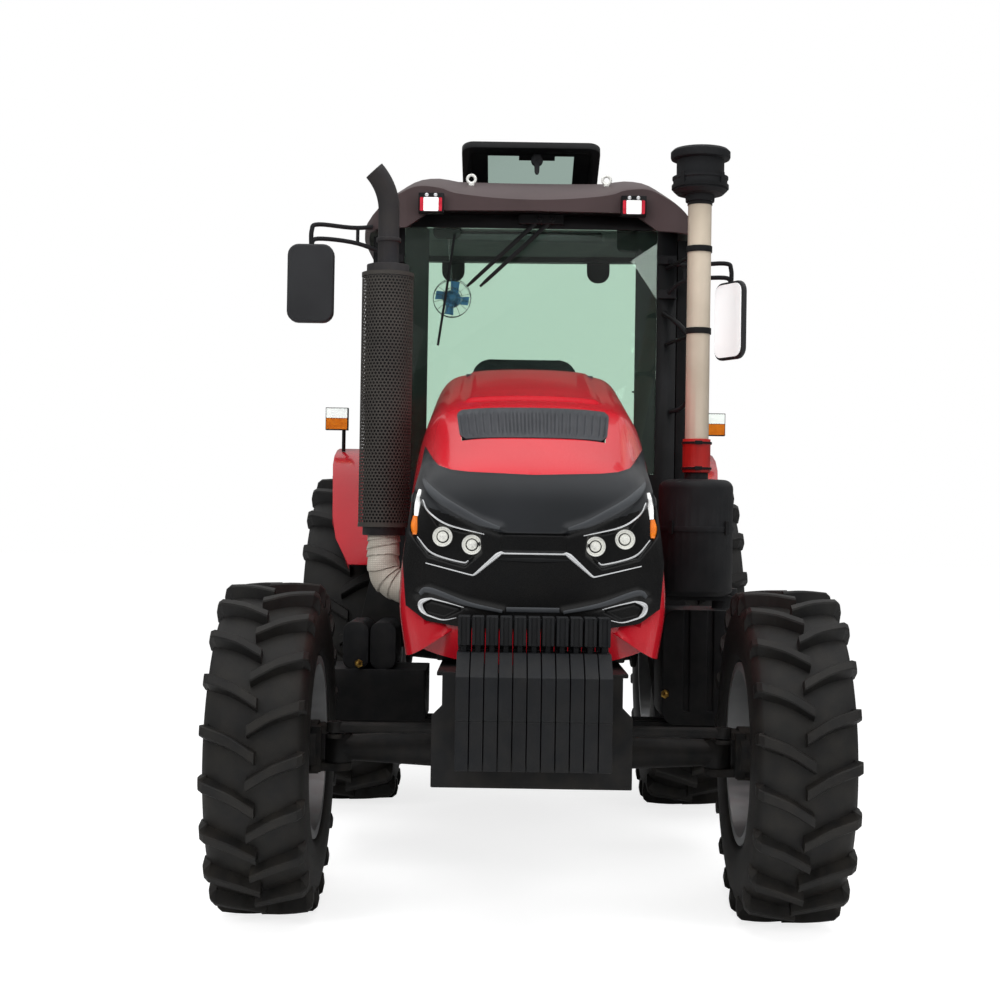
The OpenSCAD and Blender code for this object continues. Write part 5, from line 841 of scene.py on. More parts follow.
# %% Tree that sweeps a strip along a path
def strip_tree():
    tree, given = new_tree("strip_along_path", [("Path", "Geometry"), ("Flatness", "Float"), ("Facing", "Vector"),
                                                ("Finish", "Material")])
    line = first_of(tree, "GeometryNodeMeshToCurve", {"Mesh": given["Path"]})
    thick = first_of(tree, "GeometryNodeInputNamedAttribute", {"Name": "thick"}, data_type="FLOAT")
    stood = first_of(tree, "GeometryNodeSetCurveNormal", {"Curve": line, "Normal": given["Facing"]}, mode="FREE")
    oval = first_of(tree, "GeometryNodeCurvePrimitiveCircle", {"Resolution": 10, "Radius": 1.0})
    squeeze = first_of(tree, "ShaderNodeCombineXYZ", {"X": given["Flatness"], "Y": 1.0, "Z": 1.0})
    profile = first_of(tree, "GeometryNodeTransform", {"Geometry": oval, "Scale": squeeze})
    swept = first_of(tree, "GeometryNodeCurveToMesh", {"Curve": stood, "Profile Curve": profile, "Scale": thick,
                                                       "Fill Caps": True})
    smooth = first_of(tree, "GeometryNodeSetShadeSmooth", {"Geometry": swept})
    return close_tree(tree, smooth, given["Finish"])

strip_along_path = strip_tree()

def path_mesh(paths):
    """One mesh of open lines: each path is points in space and a half width at each point."""
    verts, edges, widths = [], [], []
    for points, half in paths:
        start = len(verts)
        verts += [tuple(p) for p in points]
        widths += [float(w) for w in np.broadcast_to(half, len(points))]
        edges += [(start + i, start + i + 1) for i in range(len(points) - 1)]
    mesh = bpy.data.meshes.new("path")
    mesh.from_pydata(verts, edges, [])
    mesh.attributes.new("thick", "FLOAT", "POINT").data.foreach_set("value", widths)
    return mesh

def strips(name, paths, flat, mat, body, slot, facing=(0, -1, 0)):
    mesh = grown(name, strip_along_path, {"Flatness": flat, "Facing": facing, "Finish": mat}, path_mesh(paths))
    return keep(name, mesh, mat, body, slot)

def on_mask(line, half, proud, per=8, both=True, bent=True):
    """Paths on the mask from a line of the front view, and its mirror image."""
    flat = np.array([(x, z, h) for (x, z), h in zip(line, np.broadcast_to(half, len(line)))])
    if bent:
        flat = curve_through(flat, per)
    else:
        at = np.arange(0, len(flat) - 1 + 0.5 / per, 1 / per)
        flat = np.stack([np.interp(at, np.arange(len(flat)), flat[:, k]) for k in range(3)], axis=1)
    made = []
    for side in (1, -1) if both else (1,):
        y = mask_y(flat[:, 0], flat[:, 1]) - proud
        made.append((at_points(side * flat[:, 0], y, flat[:, 1]), flat[:, 2]))
    return made

# %% Brows, chrome and the centre panel
strip_right = [(0.104, 1.4057), (0.116, 1.408), (0.128, 1.4), (0.205, 1.332), (0.2138, 1.327), (0.225, 1.329),
               (0.3826, 1.368)]
strip_half = [0.003, 0.006, 0.009, 0.0045, 0.003, 0.0024, 0.0018]
middle_strip = [(-x, z) for x, z in reversed(strip_right)] + strip_right
bright = on_mask(middle_strip, strip_half[::-1] + strip_half, 0.003, 6, False, False)
for line, half, proud in (
        ([(0.176, 1.4727), (0.306, 1.5048), (0.374, 1.549), (0.398, 1.5936)],
         [0.0015, 0.003, 0.0035, 0.002], 0.004),
        ([(0.231, 1.378), (0.2548, 1.3716), (0.3607, 1.4023), (0.4154, 1.4604)],
         [0.002, 0.003, 0.0035, 0.002], 0.004),
        ([(0.361, 1.243), (0.388, 1.235), (0.399, 1.222), (0.392, 1.2), (0.374, 1.184)],
         [0.003, 0.008, 0.009, 0.008, 0.003], 0.004),
        ([(0.245, 1.213), (0.3, 1.2285), (0.361, 1.243)], [0.001, 0.002, 0.003], 0.003),
        ([(0.27, 1.176), (0.318, 1.168), (0.374, 1.184)], [0.001, 0.002, 0.003], 0.003)):
    bright += on_mask(line, half, proud)
lower_bar = on_mask([(-0.094, 1.2076), (0, 1.2076), (0.094, 1.2076)], 0.0095, 0.003, 8, False)
centre_band = on_mask([(-0.13, 1.3835), (0, 1.3835), (0.13, 1.3835)], [0.003, 0.0085, 0.003], 0.002, 8, False)
markers = on_mask([(0.409, 1.63), (0.416, 1.58), (0.421, 1.535)], [0.006, 0.012, 0.008], 0.003)
indicators = on_mask([(0.4235, 1.535), (0.4265, 1.5), (0.425, 1.468)], [0.009, 0.014, 0.008], 0.003)
brows = on_mask(brow_line, [0.006, 0.014, 0.017, 0.017, 0.014, 0.005], 0.001)
fog_brows = on_mask(fog_ridge, [0.006, 0.009, 0.011, 0.007], 0.002)
# Brows, fog brows and the lower bar take the grey finish: painted sky light on the raised bars of the mask.
for name, paths, flat, mat, slot in (
        ("brow_bars", brows, 0.35, mask_sky_lit_grey, "black_plastic"), ("nose_chrome", bright, 0.5, chrome, "bright_steel"),
        ("fog_brows", fog_brows, 0.4, mask_sky_lit_grey, "black_plastic"),
        ("lower_bar", lower_bar, 0.35, mask_sky_lit_grey, "black_plastic"),
        ("centre_band", centre_band, 0.3, frame_black, "black_plastic"),
        ("side_markers", markers, 0.5, lamp_white, "lamp_plastic"),
        ("side_indicators", indicators, 0.5, lamp_amber, "lamp_plastic")):
    strips(name, paths, flat, mat, "bonnet", slot)
print("nose trim laid")

# %% [markdown]
# Each lamp unit holds two round lamps: a bright bowl in a collar, with a small dome in front that covers the bulb.
# They are turned about the line of travel, and the three shells are separate, as in the real lamp. Each profile has
# its depth in metres and its radius as a share of the lamp's.

# %% Round lamps
lamp_r = 0.034
lamp_profiles = {
    "collars": [(0.006, 1.02), (-0.012, 1.05), (-0.016, 1.0), (-0.014, 0.9), (0.006, 0.86)],
    "bowls": [(-0.006, 0.86), (0.004, 0.7), (0.012, 0.42), (0.014, 0.1), (0.018, 0.1), (0.016, 0.5), (0.006, 0.8)],
    "domes": [(0.008, 0.02), (-0.012, 0.02), (-0.010, 0.28), (-0.004, 0.48), (0.006, 0.56), (0.008, 0.5)],
}
lamp_spots = [(s * x, float(mask_y(x, z)) - 0.005, z) for s in (1, -1) for x, z in ((0.3245, 1.462), (0.22, 1.435))]
for kind, profile in lamp_profiles.items():
    bm = bmesh.new()
    for spot in lamp_spots:
        turned(bm, [(u, share_r * lamp_r) for u, share_r in profile], 32 if kind == "domes" else 40, spot, "Y")
    keep("head_lamp_" + kind, smooth_mesh(bm), lamp_bowl, "bonnet", "lamp_plastic",
         *(["head_lamps"] if kind == "collars" else []))
print("lamps at:", [[round(c, 3) for c in s] for s in lamp_spots])

# %% [markdown]
# ## Heat shield
# The guard round the muffler is a sheet with a close pattern of punched holes. Painting the holes would leave the
# edge of the guard closed, and cutting thousands of holes is slow. Instead one six-sided cell with a hole is repeated
# on a flat pattern, welded into a sheet and rolled into a tube, all in one tree.

# %% Tree that rolls a punched sheet
def punched_tree():
    tree, given = new_tree("punched_tube", [("Piece", "Object"), ("Around", "Int"), ("Rows", "Int"), ("Pitch", "Float"),
                                            ("Radius", "Float"), ("Thickness", "Float"), ("Place", "Vector"),
                                            ("Finish", "Material")])
    total = math_node(tree, "MULTIPLY", given["Around"], given["Rows"])
    index = tree.nodes.new("GeometryNodeInputIndex").outputs[0]
    row = math_node(tree, "FLOOR", math_node(tree, "DIVIDE", math_node(tree, "ADD", index, 0.1), given["Around"]))
    column = math_node(tree, "SUBTRACT", index, math_node(tree, "MULTIPLY", row, given["Around"]))
    shifted = math_node(tree, "ADD", column, math_node(tree, "MULTIPLY", math_node(tree, "MODULO", row, 2.0), 0.5))
    row_pitch = math_node(tree, "MULTIPLY", given["Pitch"], math.sqrt(3) / 2)
    flat = first_of(tree, "ShaderNodeCombineXYZ", {"X": math_node(tree, "MULTIPLY", shifted, given["Pitch"]),
                                                   "Z": math_node(tree, "MULTIPLY", row, row_pitch)})
    spots = first_of(tree, "GeometryNodePoints", {"Count": total, "Position": flat})
    sheet = first_of(tree, "GeometryNodeRealizeInstances", {0: copies(tree, given, spots)})
    place = node(tree, "ShaderNodeSeparateXYZ", {0: tree.nodes.new("GeometryNodeInputPosition").outputs[0]}).outputs
    angle = math_node(tree, "DIVIDE", place["X"], given["Radius"])
    ahead_by = math_node(tree, "MULTIPLY", given["Radius"], -1.0)
    rolled = first_of(tree, "ShaderNodeCombineXYZ", {
        "X": math_node(tree, "MULTIPLY", math_node(tree, "SINE", angle), given["Radius"]),
        "Y": math_node(tree, "MULTIPLY", math_node(tree, "COSINE", angle), ahead_by), "Z": place["Z"]})
    tube = first_of(tree, "GeometryNodeSetPosition", {"Geometry": sheet, "Position": rolled})
    welded = first_of(tree, "GeometryNodeMergeByDistance", {"Geometry": tube, "Distance": 0.0008})
    outer = first_of(tree, "GeometryNodeExtrudeMesh", {"Mesh": welded, "Offset Scale": given["Thickness"],
                                                       "Individual": False})
    both = tree.nodes.new("GeometryNodeJoinGeometry")
    for part in (first_of(tree, "GeometryNodeFlipFaces", {"Mesh": welded}), outer):
        tree.links.new(part, both.inputs[0])
    joined = first_of(tree, "GeometryNodeMergeByDistance", {"Geometry": both.outputs[0], "Distance": 0.0002})
    moved = first_of(tree, "GeometryNodeTransform", {"Geometry": joined, "Translation": given["Place"]})
    return close_tree(tree, moved, given["Finish"])

# %% The guard and its end bands
low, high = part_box("heat_shield")
shield_r, shield_z0, shield_z1 = (high[0] - low[0]) / 2, low[2], high[2]
shield_at = ((low[0] + high[0]) / 2, (low[1] + high[1]) / 2)
around, wall = 44, 0.0016
pitch = 2 * math.pi * (shield_r - wall) / around
rows = int((shield_z1 - shield_z0 - 0.012) / (pitch * math.sqrt(3) / 2))
bm = bmesh.new()
hexes = [[bm.verts.new((r * math.sin(math.pi * k / 3), 0, r * math.cos(math.pi * k / 3))) for k in range(6)]
         for r in (pitch / math.sqrt(3), 0.37 * pitch)]
bridge(bm, *hexes)
if bm.faces[:][0].normal.y > 0:
    bmesh.ops.reverse_faces(bm, faces=bm.faces)
cell = bpy.data.objects.new("punched_cell", mesh_of(bm, "punched_cell"))
punched = repeated("heat_shield_sheet", punched_tree(), cell, shield_steel, Around=around, Rows=rows, Pitch=pitch,
                   Radius=shield_r - wall, Thickness=wall, Place=(*shield_at, shield_z0 + 0.01))
keep("heat_shield_sheet", punched, shield_steel, "chassis", slot_of_node["heat_shield"], "heat_shield")
bands = bmesh.new()
band_tall, band_thick = 0.016, 0.004
for z in (shield_z0, shield_z1 - band_tall):
    turned(bands, [(z, shield_r), (z + band_tall, shield_r), (z + band_tall, shield_r - band_thick),
                   (z, shield_r - band_thick)], 64, (*shield_at, 0), "Z")
keep("heat_shield_bands", smooth_mesh(bands), shield_steel, "chassis", slot_of_node["heat_shield"])
print("holes:", around * rows, "faces:", len(punched.polygons))

# %% [markdown]
# The elbow under the muffler is wrapped in glass cloth. The wrap is a tube on the elbow's path, and its radius swells
# and falls back with each turn of the cloth.

# %% Wrapped elbow
wrap_pitch, wrap_r, wrap_step, around = 0.042, 0.0612, 0.0075, 40
elbow_x, elbow_y, elbow_z, elbow_r = -0.511, -1, 1.337, 0.092
bend = [(elbow_x - elbow_r * math.cos(a), elbow_z - elbow_r * math.sin(a)) for a in np.linspace(0, math.pi / 2, 9)]
path = curve_through([(-0.603, 1.462), (-0.603, 1.4)] + bend + [(-0.45, 1.245), (-0.38, 1.245)], 6)
run = np.concatenate([[0], np.cumsum(np.linalg.norm(np.diff(path, axis=0), axis=1))])
at = np.linspace(0, run[-1], 150)
line = np.stack([np.interp(at, run, path[:, k]) for k in (0, 1)], axis=1)
along = np.gradient(line, axis=0)
along /= np.linalg.norm(along, axis=1, keepdims=True)
wrap = bmesh.new()
turns = []
for s, (x, z), (dx, dz) in zip(at, line, along):
    ring = []
    for a in (2 * math.pi * i / around for i in range(around)):
        part = (s / wrap_pitch + 0.25 * math.sin(a + s * 40) + a / (2 * math.pi)) % 1
        radius = wrap_r + wrap_step * part**0.6 + 0.0015 * math.sin(3 * a + 60 * s)
        out = radius * math.cos(a)
        ring.append(wrap.verts.new((x - dz * out, elbow_y + radius * math.sin(a), z + dx * out)))
    turns.append(ring)
for one, two in zip(turns, turns[1:]):
    bridge(wrap, one, two)
wrap.faces.new(turns[0])
wrap.faces.new(turns[-1])
keep("elbow_wrap", smooth_mesh(wrap, 60), wrap_cloth, "chassis", "wrap_cloth")
print("wrap rings:", len(turns))

# %% [markdown]
# ## Front weights
# Eleven cast plates hang side by side in front to balance tools at the rear. Each has a step across its front, a
# sloped top that catches the sky, a looped handle that is narrow at its foot, and a hook behind it. One plate is
# modelled with its edges rounded, and a row tree repeats it.

# %% One plate
def slab(bm, low, high):
    low, high = zip(*(sorted(pair) for pair in zip(low, high)))
    for v in bmesh.ops.create_cube(bm, size=1)["verts"]:
        v.co = Vector([l + (h - l) * (c + 0.5) for l, h, c in zip(low, high, v.co)])

def prism(bm, outline, x0, x1):
    """Plate between x0 and x1 from an outline of (y, z) points."""
    closed(bm, *([bm.verts.new((x, y, z)) for y, z in outline] for x in (x0, x1)))

low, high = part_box("front_weights")
weights, weight_gap = 11, 0.0028
weight_pitch = (high[0] - low[0] + weight_gap) / weights
half = weight_pitch / 2 - weight_gap / 2
front, foot, top = low[1], low[2], 1.083
plate = bmesh.new()
prism(plate, [(front + 0.006, foot), (front + 0.006, 0.865), (front, 0.871), (front, top - 0.072), (front + 0.112, top),
              (-2.16, top), (-2.16, foot)], -half, half)
slab(plate, (-0.009, front + 0.15, top - 0.01), (0.009, front + 0.236, top + 0.024))
for y0, y1 in ((front + 0.138, front + 0.17), (front + 0.2, front + 0.226)):
    slab(plate, (-half + 0.002, y0, top + 0.02), (half - 0.002, y1, high[2]))
slab(plate, (-half + 0.004, front + 0.16, high[2] - 0.03), (half - 0.004, front + 0.21, high[2] - 0.002))
for x in (-half + 0.002, half - 0.013):
    slab(plate, (x, front + 0.129, top + 0.022), (x + 0.011, front + 0.14, high[2]))
slab(plate, (-half, -2.187, top - 0.01), (half, -2.163, high[2] - 0.014))
bmesh.ops.recalc_face_normals(plate, faces=plate.faces)
one = bpy.data.objects.new("one_weight", rounded_mesh(plate, 0.0025, 30))
row = repeated("front_weight_row", row_of_pieces, one, weight_iron, Count=weights,
               First=(-(weights - 1) / 2 * weight_pitch, 0, 0), Step=(weight_pitch, 0, 0))
keep("front_weight_row", row, weight_iron, "chassis", "weight_iron", "front_weights")
print("weights:", weights, "at a pitch of", round(weight_pitch * 1000, 1), "mm")

# %% [markdown]
# ## Flat pieces
# Many fittings are an outline cut from plate. One helper pushes an outline along a direction, another draws a
# rectangle with round corners, and a third keeps the plate with its edges rounded.

# %% Helpers for flat pieces
def extruded(bm, points, depth):
    """Plate from a flat outline in space, pushed along the depth vector."""
    closed(bm, *([bm.verts.new(Vector(p) + step) for p in points] for step in (Vector((0, 0, 0)), Vector(depth))))

def round_outline(x0, z0, x1, z1, radius, per=5):
    """Rectangle with round corners as (x, z) points."""
    points = []
    for cx, cz, start in ((x1 - radius, z1 - radius, 0), (x0 + radius, z1 - radius, 90),
                          (x0 + radius, z0 + radius, 180), (x1 - radius, z0 + radius, 270)):
        for i in range(per + 1):
            a = math.radians(start + 90 * i / per)
            points.append((cx + radius * math.cos(a), cz + radius * math.sin(a)))
    return points

def facing_plate(bm, outline, y0, y1):
    extruded(bm, [(x, y0, z) for x, z in outline], (0, y1 - y0, 0))

def soft_piece(name, bm, mat, body, slot, width, *nodes, segments=2):
    bmesh.ops.recalc_face_normals(bm, faces=bm.faces)
    return keep(name, rounded_mesh(bm, width, segments=segments), mat, body, slot, *nodes)

def circle(middle, radius, count):
    """Points of a closed round path that faces along Y."""
    angles = [2 * math.pi * i / count for i in range(count + 1)]
    return [Vector(middle) + Vector((radius * math.sin(a), 0, radius * math.cos(a))) for a in angles]

# %% [markdown]
# ## Roof
# The roof is one moulded shell: low at its ends, with two raised shoulders beside the hatch and a brow that falls
# towards the front. Its height is a rule over the plan, evaluated on a grid, and a box cuts the way for the hatch.

# %% The roof shell
low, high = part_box("cab_roof")
hatch_hinge = Vector((0, 0.85, 3.198))
lug_x, lug_t, lug_hole, lug_top = 0.19, 0.022, 0.009, 3.188
roof_corner, roof_foot, roof_back_foot, roof_wall = 0.17, 2.86, 2.93, 0.022

def roof_height(x, y):
    side = np.abs(x)
    crown = 3.165 + 0.012 * step_up((side - 0.36) / 0.06) * step_up((0.62 - side) / 0.1)
    crown = crown - 0.3 * share(side, 0.42, 0.8) ** 2.4
    brow = 0.17 * share(y, 0.3, -0.3) ** 2.2
    tail = 0.12 * share(y, 1.5, 1.79) ** 2
    return crown - brow * (1 - 0.75 * share(side, 0, 0.8) ** 2) - tail

def roof_half(y):
    return 0.8 - 0.055 * share(y, 0.25, -0.3) ** 2 - 0.02 * share(y, 1.5, 1.79) ** 2

front_y, back_y = low[1], high[1]
ys = np.concatenate([np.linspace(front_y, front_y + 0.05, 4), np.linspace(front_y + 0.08, back_y - 0.06, 40),
                     np.linspace(back_y - 0.05, back_y, 4)])
us = np.sin(np.linspace(-1, 1, 49) * math.pi / 2)
top = np.zeros((len(ys), len(us), 3))
for i, y in enumerate(ys):
    corner = np.clip(min(y - front_y, back_y - y) / roof_corner, 0, 1)
    wide = roof_half(y) - roof_corner * (1 - math.sqrt(1 - (1 - corner) ** 2))
    top[i] = at_points(us * wide, y, roof_height(us * wide, y))
fall = at_points(top[:1, :, 0], top[:1, :, 1], np.interp(np.abs(us), [0, 0.8, 1], [2.945, 2.94, roof_foot]))
back = at_points(top[-1:, :, 0], top[-1:, :, 1], roof_back_foot)
shell = np.concatenate([fall, top, back])
edges = [np.minimum(shell[:, k:k + 1], [9, 9, roof_foot]) for k in (0, shell.shape[1] - 1)]
bm = grid_mesh(np.concatenate([edges[0], shell, edges[1]], axis=1))
bmesh.ops.remove_doubles(bm, verts=bm.verts, dist=0.0005)
hole = bmesh.new()
slab(hole, (-0.315, 0.32, 2.7), (0.315, 0.82, 3.6))
roof = thick_mesh(facing(bm, way_up), roof_wall, sharp=50, cutter=shape_object("hatch_way", hole), even=False)
roof_piece = keep("roof_shell", roof, roof_paint, "chassis", "roof_paint", "cab_roof")
print("roof faces:", len(roof.polygons), "solid's top:", round(high[2], 3))

# %% Under the shell
def four_slabs(bm, front, back, sides, z0, z1):
    """Panels in front of the hatch way, behind it and at its two sides."""
    for (x, y0, y1) in (front, back):
        slab(bm, (-x, y0, z0), (x, y1, z1))
    for s in (-1, 1):
        slab(bm, (s * sides[0], sides[2], z0), (s * sides[1], sides[3], z1))

lugs = bmesh.new()
for s in (1, -1):
    x0, x1 = sorted((s * lug_x, s * (lug_x + lug_t)))
    slab(lugs, (x0, hatch_hinge.y - lug_t / 2, 3.12), (x1, hatch_hinge.y + lug_t / 2, lug_top))
    turned(lugs, [(x0, lug_hole), (x0, lug_t / 2), (x1, lug_t / 2), (x1, lug_hole)], 24, hatch_hinge)
four_slabs(lugs, (0.62, -0.23, 0.315), (0.72, 0.825, 1.68), (0.33, 0.74, 0.315, 0.825), 2.951, 2.957)
soft_piece("roof_floor_and_lugs", lugs, frame_black, "chassis", "roof_paint", 0.002)
print("lugs:", 2, "floor panels:", 4)

# %% [markdown]
# ## Inside the cab
# Through the windscreen one sees the padded headliner with its hatch way, two hanging tabs and a pair of gas struts
# of the rear window, a small fan on a wire arm and the dark visors in the corners. The headliner is upholstered in
# four panels. A black band is printed on the windscreen's edges, which hides the glue behind it.

# %% Headliner, tabs and visors
liner = bmesh.new()
four_slabs(liner, (0.585, -0.055, 0.315), (0.585, 0.825, 1.605), (0.335, 0.585, 0.317, 0.823), 2.912, 2.948)
soft_piece("headliner_panels", liner, headliner, "chassis", "seat_cloth", 0.012)
tabs = bmesh.new()
for x in (-0.315, 0.323):
    facing_plate(tabs, round_outline(x - 0.05, 2.805, x + 0.05, 2.93, 0.046), 1.655, 1.667)
for x0, x1, z0 in ((-0.455, -0.325, 2.845), (0.4, 0.53, 2.795)):
    facing_plate(tabs, round_outline(x0, z0, x1, 2.935, 0.03), -0.05, -0.03)
facing_plate(tabs, round_outline(0.5, 2.66, 0.59, 2.76, 0.04), 1.655, 1.667)
soft_piece("window_tabs_and_visors", tabs, black_plastic, "chassis", "black_plastic", 0.004)
bands = bmesh.new()
for x0, x1 in ((-0.59, -0.475), (0.49, 0.59)):
    facing_plate(bands, round_outline(x0, 1.7, x1, 2.89, 0.02), -0.1305, -0.128)
soft_piece("windscreen_bands", bands, frame_black, "chassis", "black_paint", 0.001)
strut_xs, strut_y = (-0.525, 0.532), 1.63
struts = [([(x, strut_y, 2.69), (x, strut_y, 2.47)], 0.011) for x in strut_xs]
struts += [([(x, strut_y, 2.5), (x, strut_y, 2.34), (x - math.copysign(0.05, x), 1.64, 2.335)], 0.005)
           for x in strut_xs]
strips("window_struts", struts, 1, frame_black, "chassis", "black_paint", (1, 0, 0))
print("headliner panels: 4")

# %% [markdown]
# The fan is a wire cage on a bent arm. Each wire is a path, so the same tree that laid the bright strips sweeps it.

# %% Fan
fan = Vector((-0.358, 0.12, 2.586))
back_by = Vector((0, 1, 0))
wires = [(circle(fan + by * back_by, radius, 32), 0.0016)
         for radius, by in ((0.088, 0), (0.086, 0.05), (0.045, -0.022))]
for i in range(14):
    a = 2 * math.pi * i / 14
    out = Vector((math.sin(a), 0, math.cos(a)))
    wires.append(([fan + by * back_by + radius * out
                   for by, radius in ((-0.03, 0.012), (-0.022, 0.045), (0, 0.088), (0.05, 0.086))], 0.0012))
fan_arm = [(-0.385, -0.03, 2.86), (-0.375, 0.03, 2.78), (-0.36, 0.16, 2.66), fan + Vector((0, 0.07, 0.02))]
wires.append((fan_arm, 0.005))
strips("fan_cage", wires, 1, bright_steel, "chassis", "bright_steel", (0, 0.6, 0.8))
bm = bmesh.new()
turned(bm, [(-0.02, 0.002), (-0.018, 0.018), (0.0, 0.03), (0.05, 0.042), (0.075, 0.036), (0.08, 0.002)], 24, fan, "Y")
for i in range(4):
    a = math.pi * i / 2 + 0.3
    out, side = Vector((math.sin(a), 0, math.cos(a))), Vector((math.cos(a), 0, -math.sin(a)))
    vane = ((0.02, -0.012), (0.074, -0.03), (0.08, 0.01), (0.03, 0.02))
    extruded(bm, [fan + r * out + w * side for r, w in vane], (0, 0.003, 0))
keep("fan_motor", smooth_mesh(bm), fan_blue, "chassis", "black_plastic")
print("fan wires:", len(wires))

# %% [markdown]
# ## Wiper
# The wiper's motor sits under the roof's brow. Two thin arms carry the blade, which is a rubber lip in a sprung bow.

# %% Wiper
wiper = bmesh.new()
slab(wiper, (-0.06, -0.19, 2.904), (0.15, -0.15, 2.95))
arm_xs, arm_z = (0.035, 0.095), 2.926
for x in arm_xs:
    turned(wiper, [(-0.195, 0.002), (-0.195, 0.012), (-0.19, 0.016), (-0.165, 0.016), (-0.165, 0.002)], 20,
           (x, 0, arm_z), "Y")
soft_piece("wiper_motor", wiper, frame_black, "chassis", "black_paint", 0.004, "wipers")
arms = [([(x, -0.178, arm_z), (x - 0.3, -0.176, 2.64), (x - 0.33, -0.172, 2.612)], [0.012, 0.009, 0.006])
        for x in arm_xs]
blade = curve_through([(-0.3575, -0.158, 2.855), (-0.39, -0.166, 2.6), (-0.427, -0.158, 2.337)], 8)
arms += [(blade, 0.006), (blade + np.array([0, 0.012, 0]), 0.003)]
strips("wiper_arms_and_blade", arms, 0.6, frame_black, "chassis", "black_paint")
print("wiper paths:", len(arms))

# %% [markdown]
# ## Seat
# A seat's foam pushes its cover out, and the cover wrinkles at the edges. That is what a cloth simulation does: the
# pad is remeshed evenly and drawn in a little, then blown up from inside and stopped after fourteen frames. A limit
# on how far a point may move keeps the pad in its place.

# %% Blown-up pads
pad_frames, pad_drawn_in, pad_voxel = 14, 0.008, 0.011

def values_of(mesh, kind):
    values = np.zeros(len(mesh.vertices) * 3)
    mesh.vertices.foreach_get(kind, values)
    return values.reshape(-1, 3)

def padded_mesh(name, pressure, cap):
    """Even mesh of a pad, blown up by the pressure, with no point moved further than the cap."""
    pad = linked(name + "_pad", mesh_of(merged_copy(name), name + "_pad"))
    even = pad.modifiers.new("even", "REMESH")
    even.mode, even.voxel_size = "VOXEL", pad_voxel
    mesh = baked(pad)
    start = values_of(mesh, "co")
    mesh.vertices.foreach_set("co", (start - pad_drawn_in * values_of(mesh, "normal")).ravel())
    pad = linked(name + "_pad", mesh)
    cloth = pad.modifiers.new("cover", "CLOTH").settings
    cloth.use_pressure, cloth.uniform_pressure_force = True, pressure
    cloth.effector_weights.gravity = 0
    cloth.tension_stiffness = cloth.compression_stiffness = 30
    for number in range(1, pad_frames + 1):
        scene.frame_set(number)
    blown = baked(pad)
    scene.frame_set(1)
    step = values_of(blown, "co") - start
    far = np.linalg.norm(step, axis=1, keepdims=True)
    step *= np.minimum(1, cap / np.maximum(far, 1e-9))
    blown.vertices.foreach_set("co", (start + step).ravel())
    blown.shade_smooth()
    return blown

pads = keep("seat_pads_blown", padded_mesh("seat_pads", 4, 0.014), seat_cloth, "chassis", "seat_cloth", "seat_pads")
print("seat pad faces:", len(pads.data.polygons))

# %% [markdown]
# ## On the roof and the pillars
# Two lifting eyes stand at the front of the roof, the open hatch has a latch with a turning handle, and a bent grab
# rail helps the driver up on the left. To stand on the roof, a piece needs its height there: a ray is dropped on the
# shell.

# %% Lifting eyes and grab rail
from mathutils.bvhtree import BVHTree

def height_on(data, x, y):
    tree = BVHTree.FromPolygons([v.co for v in data.vertices], [p.vertices for p in data.polygons])
    hit = tree.ray_cast(Vector((x, y, 5)), Vector((0, 0, -1)))[0]
    return hit.z

eyes, eye_r = [], 0.019
for x, y in ((-0.284, -0.12), (0.349, -0.12)):
    z = height_on(roof_piece.data, x, y)
    eyes.append((circle((x, y, z + 0.027), eye_r, 20), 0.007))
    eyes.append(([(x, y, z - 0.004), (x, y, z + 0.006)], 0.014))
strips("lifting_eyes", eyes, 1, eye_white, "chassis", "bright_steel", (0, 1, 0))
rail = curve_through([(0.617, -0.155, 2.508), (0.665, -0.2, 2.465), (0.724, -0.232, 2.388), (0.738, -0.238, 2.25),
                      (0.738, -0.238, 2.12), (0.706, -0.2, 2.06), (0.655, -0.155, 2.045)], 6)
strips("grab_rail", [(rail, 0.0125)], 1, frame_black, "chassis", "black_paint", (0.2, 1, 0.1))
print("eyes stand at:", [round(p[0][0][2], 3) for p in eyes])

# %% Latch and print of the hatch
tilt = math.radians(20)
along, below = Vector((0, -math.cos(tilt), math.sin(tilt))), Vector((0, -math.sin(tilt), -math.cos(tilt)))
latch = bmesh.new()
spot = hatch_hinge + 0.49 * along + Vector((0.03, 0, 0))
turned(latch, [(-0.012, 0.002), (-0.012, 0.026), (-0.008, 0.03), (0.008, 0.03), (0.012, 0.026), (0.012, 0.002)], 24,
       spot + 0.045 * below, "Y")
handle = ((-0.014, 0), (0.014, 0), (0.012, 0.06), (0.006, 0.075), (-0.006, 0.075), (-0.012, 0.06))
extruded(latch, [spot + (0.05 + d) * below + Vector((x, -0.006, 0)) for x, d in handle], (0, 0.014, 0))
slab(latch, spot + Vector((-0.02, -0.012, -0.05)), spot + Vector((0.02, 0.012, 0.01)))
soft_piece("hatch_latch", latch, black_plastic, "hatch", "black_plastic", 0.003)
print_on = bmesh.new()
for x0, x1, s0, s1 in ((-0.3, -0.215, 0.05, 0.515), (0.215, 0.3, 0.05, 0.515), (-0.215, 0.215, 0.475, 0.515),
                       (-0.06, 0.12, 0.435, 0.475)):
    corners = ((x0, s0), (x1, s0), (x1, s1), (x0, s1))
    extruded(print_on, [hatch_hinge + s * along + Vector((x, 0, 0)) + 0.008 * below for x, s in corners],
             0.002 * below)
soft_piece("hatch_print", print_on, frame_black, "hatch", "black_paint", 0.0005)
print("hatch print panels:", 4)

# %% [markdown]
# ## Lamps and mirrors
# The work lamps have a bright lens with red edges in a black case, hung from two bright bolts. The markers on the
# fenders are clear above and amber below, and the tail lamps are red. The solids become the black cases, and the
# lenses are plates with round corners set on their faces.

